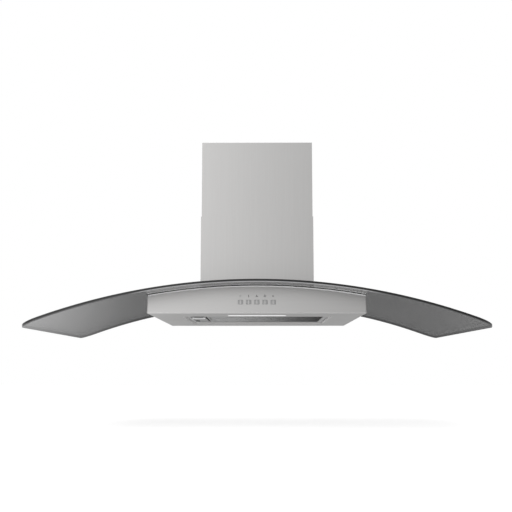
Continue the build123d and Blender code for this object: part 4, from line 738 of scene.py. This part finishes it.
class HOOD_OT_controls(bpy.types.Operator):
    """Finish the push-buttons and print an icon above each"""

    bl_idname = "hood.controls"
    bl_label = "Controls"

    pitch: bpy.props.FloatProperty(
        name="Pitch", description="Distance between buttons", unit="LENGTH", default=0.016
    )
    rise: bpy.props.FloatProperty(
        name="Rise", description="Icon height above the button's middle", unit="LENGTH", default=0.0118
    )

    def execute(self, context):
        steel = button_steel(self.pitch)
        ink = soft_plastic("printed_ink", grey(30), 0.5, 2600.0)
        makers = (self.power, self.two_blades, self.three_blades, self.four_blades, self.lamp)
        for number, maker in enumerate(makers, 1):
            button = f"button_{number}"
            dress(steel, button)
            low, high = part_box(button)
            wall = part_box("canopy_body")[0].y
            place = Vector(((low.x + high.x) / 2, wall, (low.z + high.z) / 2 + self.rise))
            icon = f"icon_{number}"
            piece = new_piece(icon, mesh_from(icon, maker), ink, "hood")
            piece.data.transform(Matrix.Translation(place))
        return {"FINISHED"}

    def shape(self, work, points):
        """A thin raised shape on the wall from an outline in X and Z."""
        rise = hood_settings().icon_rise
        back = [work.verts.new((x, 0.0, z)) for x, z in points]
        front = [work.verts.new((x, -rise, z)) for x, z in points]
        work.faces.new(front)
        work.faces.new(back[::-1])
        for (a, b), (c, d) in zip(ring_pairs(back), ring_pairs(front)):
            work.faces.new((a, b, d, c))

    def disc(self, work, radius):
        steps = 20
        turns = [2 * math.pi * step / steps for step in range(steps)]
        self.shape(work, [(radius * math.cos(t), radius * math.sin(t)) for t in turns])

    def arc(self, work, radius, width, start, end):
        """Part of a ring, made of short blocks."""
        steps = 14
        for step in range(steps):
            first = math.radians(start + (end - start) * step / steps)
            second = math.radians(start + (end - start) * (step + 1) / steps)
            inner = radius - width
            corners = [(radius, first), (radius, second), (inner, second), (inner, first)]
            self.shape(work, [(r * math.cos(t), r * math.sin(t)) for r, t in corners])

    def bar(self, work, angle, start, end, width):
        """A straight stroke that points away from the icon's middle."""
        t = math.radians(angle)
        along = (math.cos(t), math.sin(t))
        aside = (-math.sin(t) * width / 2, math.cos(t) * width / 2)
        corners = ((start, -1), (end, -1), (end, 1), (start, 1))
        self.shape(work, [(along[0] * r + aside[0] * s, along[1] * r + aside[1] * s) for r, s in corners])

    def blades(self, work, count):
        """A fan with a hub and leaf-shaped blades, whose outlines are in millimetres."""
        self.disc(work, 0.8 * MM)
        steps = 8
        root, length, belly, back = 0.7, 2.1, 1.05, 0.15
        outer = [
            (root + length * step / steps, belly * math.sin(math.pi * step / steps))
            for step in range(steps + 1)
        ]
        leaf = outer + [(along, -back * aside) for along, aside in outer[-2:0:-1]]
        for blade in range(count):
            turn = math.radians(90 + 360 * blade / count)
            cosine, sine = math.cos(turn), math.sin(turn)
            self.shape(work, [((a * cosine - b * sine) * MM, (a * sine + b * cosine) * MM) for a, b in leaf])

    def power(self, work):
        """An open ring with a stroke in its gap."""
        stroke = 0.32 * MM
        self.arc(work, 1.9 * MM, stroke, -240, 60)
        self.bar(work, 90, 0.7 * MM, 2.3 * MM, stroke)

    def two_blades(self, work):
        self.blades(work, 2)

    def three_blades(self, work):
        self.blades(work, 3)

    def four_blades(self, work):
        self.blades(work, 4)

    def lamp(self, work):
        """A disc with eight rays."""
        self.disc(work, 0.95 * MM)
        for ray in range(8):
            self.bar(work, 45 * ray, 1.4 * MM, 2.2 * MM, 0.3 * MM)


class HOOD_OT_light_strip(bpy.types.Operator):
    """Finish the light's frosted strip"""

    bl_idname = "hood.light_strip"
    bl_label = "Light strip"

    def execute(self, context):
        dress(light_diffuser(hood_settings()), "led_lens")
        return {"FINISHED"}


class HOOD_OT_screws(bpy.types.Operator):
    """Make the cross-headed screws on the chimney's sides"""

    bl_idname = "hood.screws"
    bl_label = "Screws"

    def execute(self, context):
        steel = bright_steel()
        steel.name = "screw_steel"
        mesh = mesh_from("side_screws", self.heads)
        piece = new_piece("side_screws", mesh, steel, "hood", math.radians(35))
        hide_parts("chimney_screws")
        return {"FINISHED"}

    def heads(self, work):
        """One screw at each end of the group's box along Y, on both sides."""
        low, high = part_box("chimney_screws")
        radius = (high.z - low.z) / 2
        middle = (low.z + high.z) / 2
        for side, x in ((-1, low.x), (1, high.x)):
            for y in (low.y + radius, high.y - radius):
                self.screw(work, Vector((x, y, middle)), side, radius)

    def screw(self, work, crown, side, radius):
        """A domed head with a cross recess, and its shank. crown is the middle of the head's top."""
        height, edge, shank, reach = 1.3 * MM, 0.35 * MM, 2.0 * MM, 8.0 * MM
        turns = 28
        dome = [(0.62 * radius, 0.0), (0.86 * radius, 0.16 * MM), (0.97 * radius, edge), (radius, 2 * edge)]
        profile = dome + [(radius, height), (shank, height), (shank, height + reach)]
        rings = []
        for r, down in profile:
            ring = []
            for step in range(turns):
                t = 2 * math.pi * step / turns
                ring.append(work.verts.new(crown + Vector((-side * down, r * math.cos(t), r * math.sin(t)))))
            rings.append(ring)
        for first, second in zip(rings, rings[1:]):
            for (a, b), (c, d) in zip(ring_pairs(first), ring_pairs(second)):
                work.faces.new((a, b, d, c))
        work.faces.new(rings[-1])
        arm, half = 0.48 * radius, 0.12 * radius
        taper, recess = 0.8, 0.8 * MM
        cross = [(half, half), (half, arm), (-half, arm), (-half, half), (-arm, half), (-arm, -half)]
        cross += [(-half, -half), (-half, -arm), (half, -arm), (half, -half), (arm, -half), (arm, half)]
        top = [work.verts.new(crown + Vector((0, y, z))) for y, z in cross]
        bottom = [work.verts.new(crown + Vector((-side * recess, taper * y, taper * z))) for y, z in cross]
        for (a, b), (c, d) in zip(ring_pairs(top), ring_pairs(bottom)):
            work.faces.new((a, b, d, c))
        work.faces.new(bottom)
        edges = [work.edges.get(pair) for pair in ring_pairs(top)]
        edges += [work.edges.get(pair) for pair in ring_pairs(rings[0])]
        bmesh.ops.triangle_fill(work, edges=edges, use_beauty=True)


SENSOR_WIDTH = 36.0  # millimetres, which the lens is given for


class HOOD_OT_stage(bpy.types.Operator):
    """Set the pale floor, the soft light and the camera"""

    bl_idname = "hood.stage"
    bl_label = "Stage"

    floor_height: bpy.props.FloatProperty(
        name="Floor height", description="Level of the floor", unit="LENGTH", default=-0.6
    )
    floor_size: bpy.props.FloatProperty(
        name="Floor size", description="Width of the floor", unit="LENGTH", default=9.0
    )
    eye: bpy.props.FloatVectorProperty(
        name="Eye", description="Place of the camera",
        subtype="TRANSLATION", default=(0.0106, -1.925, -0.486),
    )
    tilt: bpy.props.FloatProperty(
        name="Tilt", description="Camera's upward tilt", subtype="ANGLE", default=math.radians(7.55)
    )
    turn: bpy.props.FloatProperty(
        name="Turn", description="Camera's turn to the left",
        subtype="ANGLE", default=math.radians(0.41),
    )
    lens: bpy.props.FloatProperty(name="Lens", description="Focal length on a 36 mm sensor", default=60.75)
    floor_lift: bpy.props.FloatProperty(
        name="Floor lift", description="Light added to the floor to keep it pale", default=0.52
    )
    front_level: bpy.props.FloatProperty(
        name="Front level", description="Light from in front", default=0.915
    )
    front_lean: bpy.props.FloatProperty(
        name="Front lean", description="How much brighter the left is", default=2.7
    )
    corner_level: bpy.props.FloatProperty(
        name="Corner level", description="Light from low behind", default=0.135
    )
    ground_level: bpy.props.FloatProperty(
        name="Ground level", description="Light from straight below", default=0.95
    )
    side_start: bpy.props.FloatProperty(
        name="Side start", description="How far to a side the low light behind begins to grow", default=0.09
    )
    side_end: bpy.props.FloatProperty(
        name="Side end", description="How far to a side the low light behind is full", default=0.24
    )
    key_power: bpy.props.FloatProperty(
        name="Key power", description="Power of the left panel", unit="POWER", default=14.0
    )
    fill_power: bpy.props.FloatProperty(
        name="Fill power", description="Power of the right panel", unit="POWER", default=2.0
    )

    def execute(self, context):
        scene = context.scene
        scene.view_settings.view_transform = "Standard"
        self.floor(scene)
        self.sky(scene)
        self.lamps(scene)
        camera = bpy.data.objects.new("camera", bpy.data.cameras.new("camera"))
        scene.collection.objects.link(camera)
        camera.location = self.eye
        camera.rotation_euler = (math.pi / 2 + self.tilt, 0.0, self.turn)
        camera.data.lens = self.lens
        camera.data.sensor_width = SENSOR_WIDTH
        scene.camera = camera
        return {"FINISHED"}

    def floor(self, scene):
        """A one-sided pale floor, so that the hood can be looked at from below as well."""
        half = self.floor_size / 2
        corners = [(-half, -half), (half, -half), (half, half), (-half, half)]
        mesh = bpy.data.meshes.new("floor")
        mesh.from_pydata([(x, y, self.floor_height) for x, y in corners], [], [(0, 1, 2, 3)])
        floor = bpy.data.objects.new("floor", mesh)
        scene.collection.objects.link(floor)
        pale = Shader("pale_floor", roughness=0.9, specular_ior_level=0.0, emission_strength=self.floor_lift)
        speck = pale.noise(pale.place(), 40.0)
        pale.put("Base Color", pale.mixed(speck, (0.88, 0.88, 0.88, 1), (0.90, 0.90, 0.90, 1)))
        pale.put("Emission Color", pale.mixed(speck, (0.98, 0.98, 0.98, 1), (1.0, 1.0, 1.0, 1)))
        pale.put("Alpha", 1 - pale.node("ShaderNodeNewGeometry", {}, {}, "Backfacing"))
        mesh.materials.append(pale.material)
        floor.visible_glossy = False

    def sky(self, scene):
        """White to the eye. For light it is a studio, brighter in front on the left, with a dark corner
        low down behind, which is what the glass and the underside mirror."""
        world = bpy.data.worlds.new("studio")
        world.use_nodes = True
        scene.world = world
        sky = NodeMaths(world.node_tree)
        background = world.node_tree.nodes["Background"]
        direction = sky.node("ShaderNodeTexCoord", {}, {}, "Generated")
        x, y, z = sky.axes(direction)
        seen = sky.node("ShaderNodeLightPath", {}, {}, "Is Camera Ray")
        lean = x * (1 - x * x) ** 3
        above = 0.10 * z
        below = 0.45 * sky.ramp(-1 * z, 0.6, 0.95)
        front = self.front_level * (1 - self.front_lean * lean) + above + below
        low_left = 1.42 * sky.ramp(-1 * x, self.side_start, self.side_end)
        low_right = 0.27 * sky.ramp(x, self.side_start, self.side_end)
        corner = self.corner_level + low_left + low_right
        depth = sky.ramp(-1 * z, 0.16, 0.42)
        corner = corner + (self.ground_level - corner) * depth
        dark = sky.ramp(y, 0.45, 0.8) * (1 - sky.ramp(z, -0.02, 0.12))
        soft = (front + (corner - front) * dark).clamped_to(0.02, 2.0)
        sky.feed(background.inputs["Strength"], seen + (1 - seen) * soft)
        sky.feed(background.inputs["Color"], (1.0, 1.0, 1.0, 1.0))

    def lamps(self, scene):
        """Two large soft panels in front, one on the left and one on the right, aimed at the hood."""
        aim = Vector((0.0, 0.0, -0.3))
        width = 1.6
        places = (
            ("key", Vector((-1.8, -2.6, 0.9)), self.key_power),
            ("fill", Vector((2.2, -2.2, 0.4)), self.fill_power),
        )
        for name, place, power in places:
            lamp = bpy.data.objects.new(name, bpy.data.lights.new(name, "AREA"))
            lamp.data.size = width
            lamp.data.energy = power
            lamp.location = place
            lamp.rotation_euler = (aim - place).to_track_quat("-Z", "Y").to_euler()
            scene.collection.objects.link(lamp)


class HOOD_PT_panel(bpy.types.Panel):
    """Lists the hood's operators in the sidebar"""

    bl_idname = "HOOD_PT_panel"
    bl_label = "Range hood"
    bl_space_type = "VIEW_3D"
    bl_region_type = "UI"
    bl_category = "Hood"

    def draw(self, context):
        for operator in OPERATORS:
            self.layout.operator(operator.bl_idname)


OPERATORS = (
    HOOD_OT_steel,
    HOOD_OT_inside,
    HOOD_OT_glass,
    HOOD_OT_filter,
    HOOD_OT_controls,
    HOOD_OT_light_strip,
    HOOD_OT_screws,
    HOOD_OT_stage,
)
CLASSES = (HoodSettings, *OPERATORS, HOOD_PT_panel)


def register():
    for cls in CLASSES:
        bpy.utils.register_class(cls)
    bpy.types.Scene.hood_settings = bpy.props.PointerProperty(type=HoodSettings)


def unregister():
    del bpy.types.Scene.hood_settings
    for cls in reversed(CLASSES):
        bpy.utils.unregister_class(cls)


def main():
    register()
    for operator in OPERATORS:
        group, name = operator.bl_idname.split(".")
        getattr(getattr(bpy.ops, group), name)()


if __name__ == "__main__":
    main()
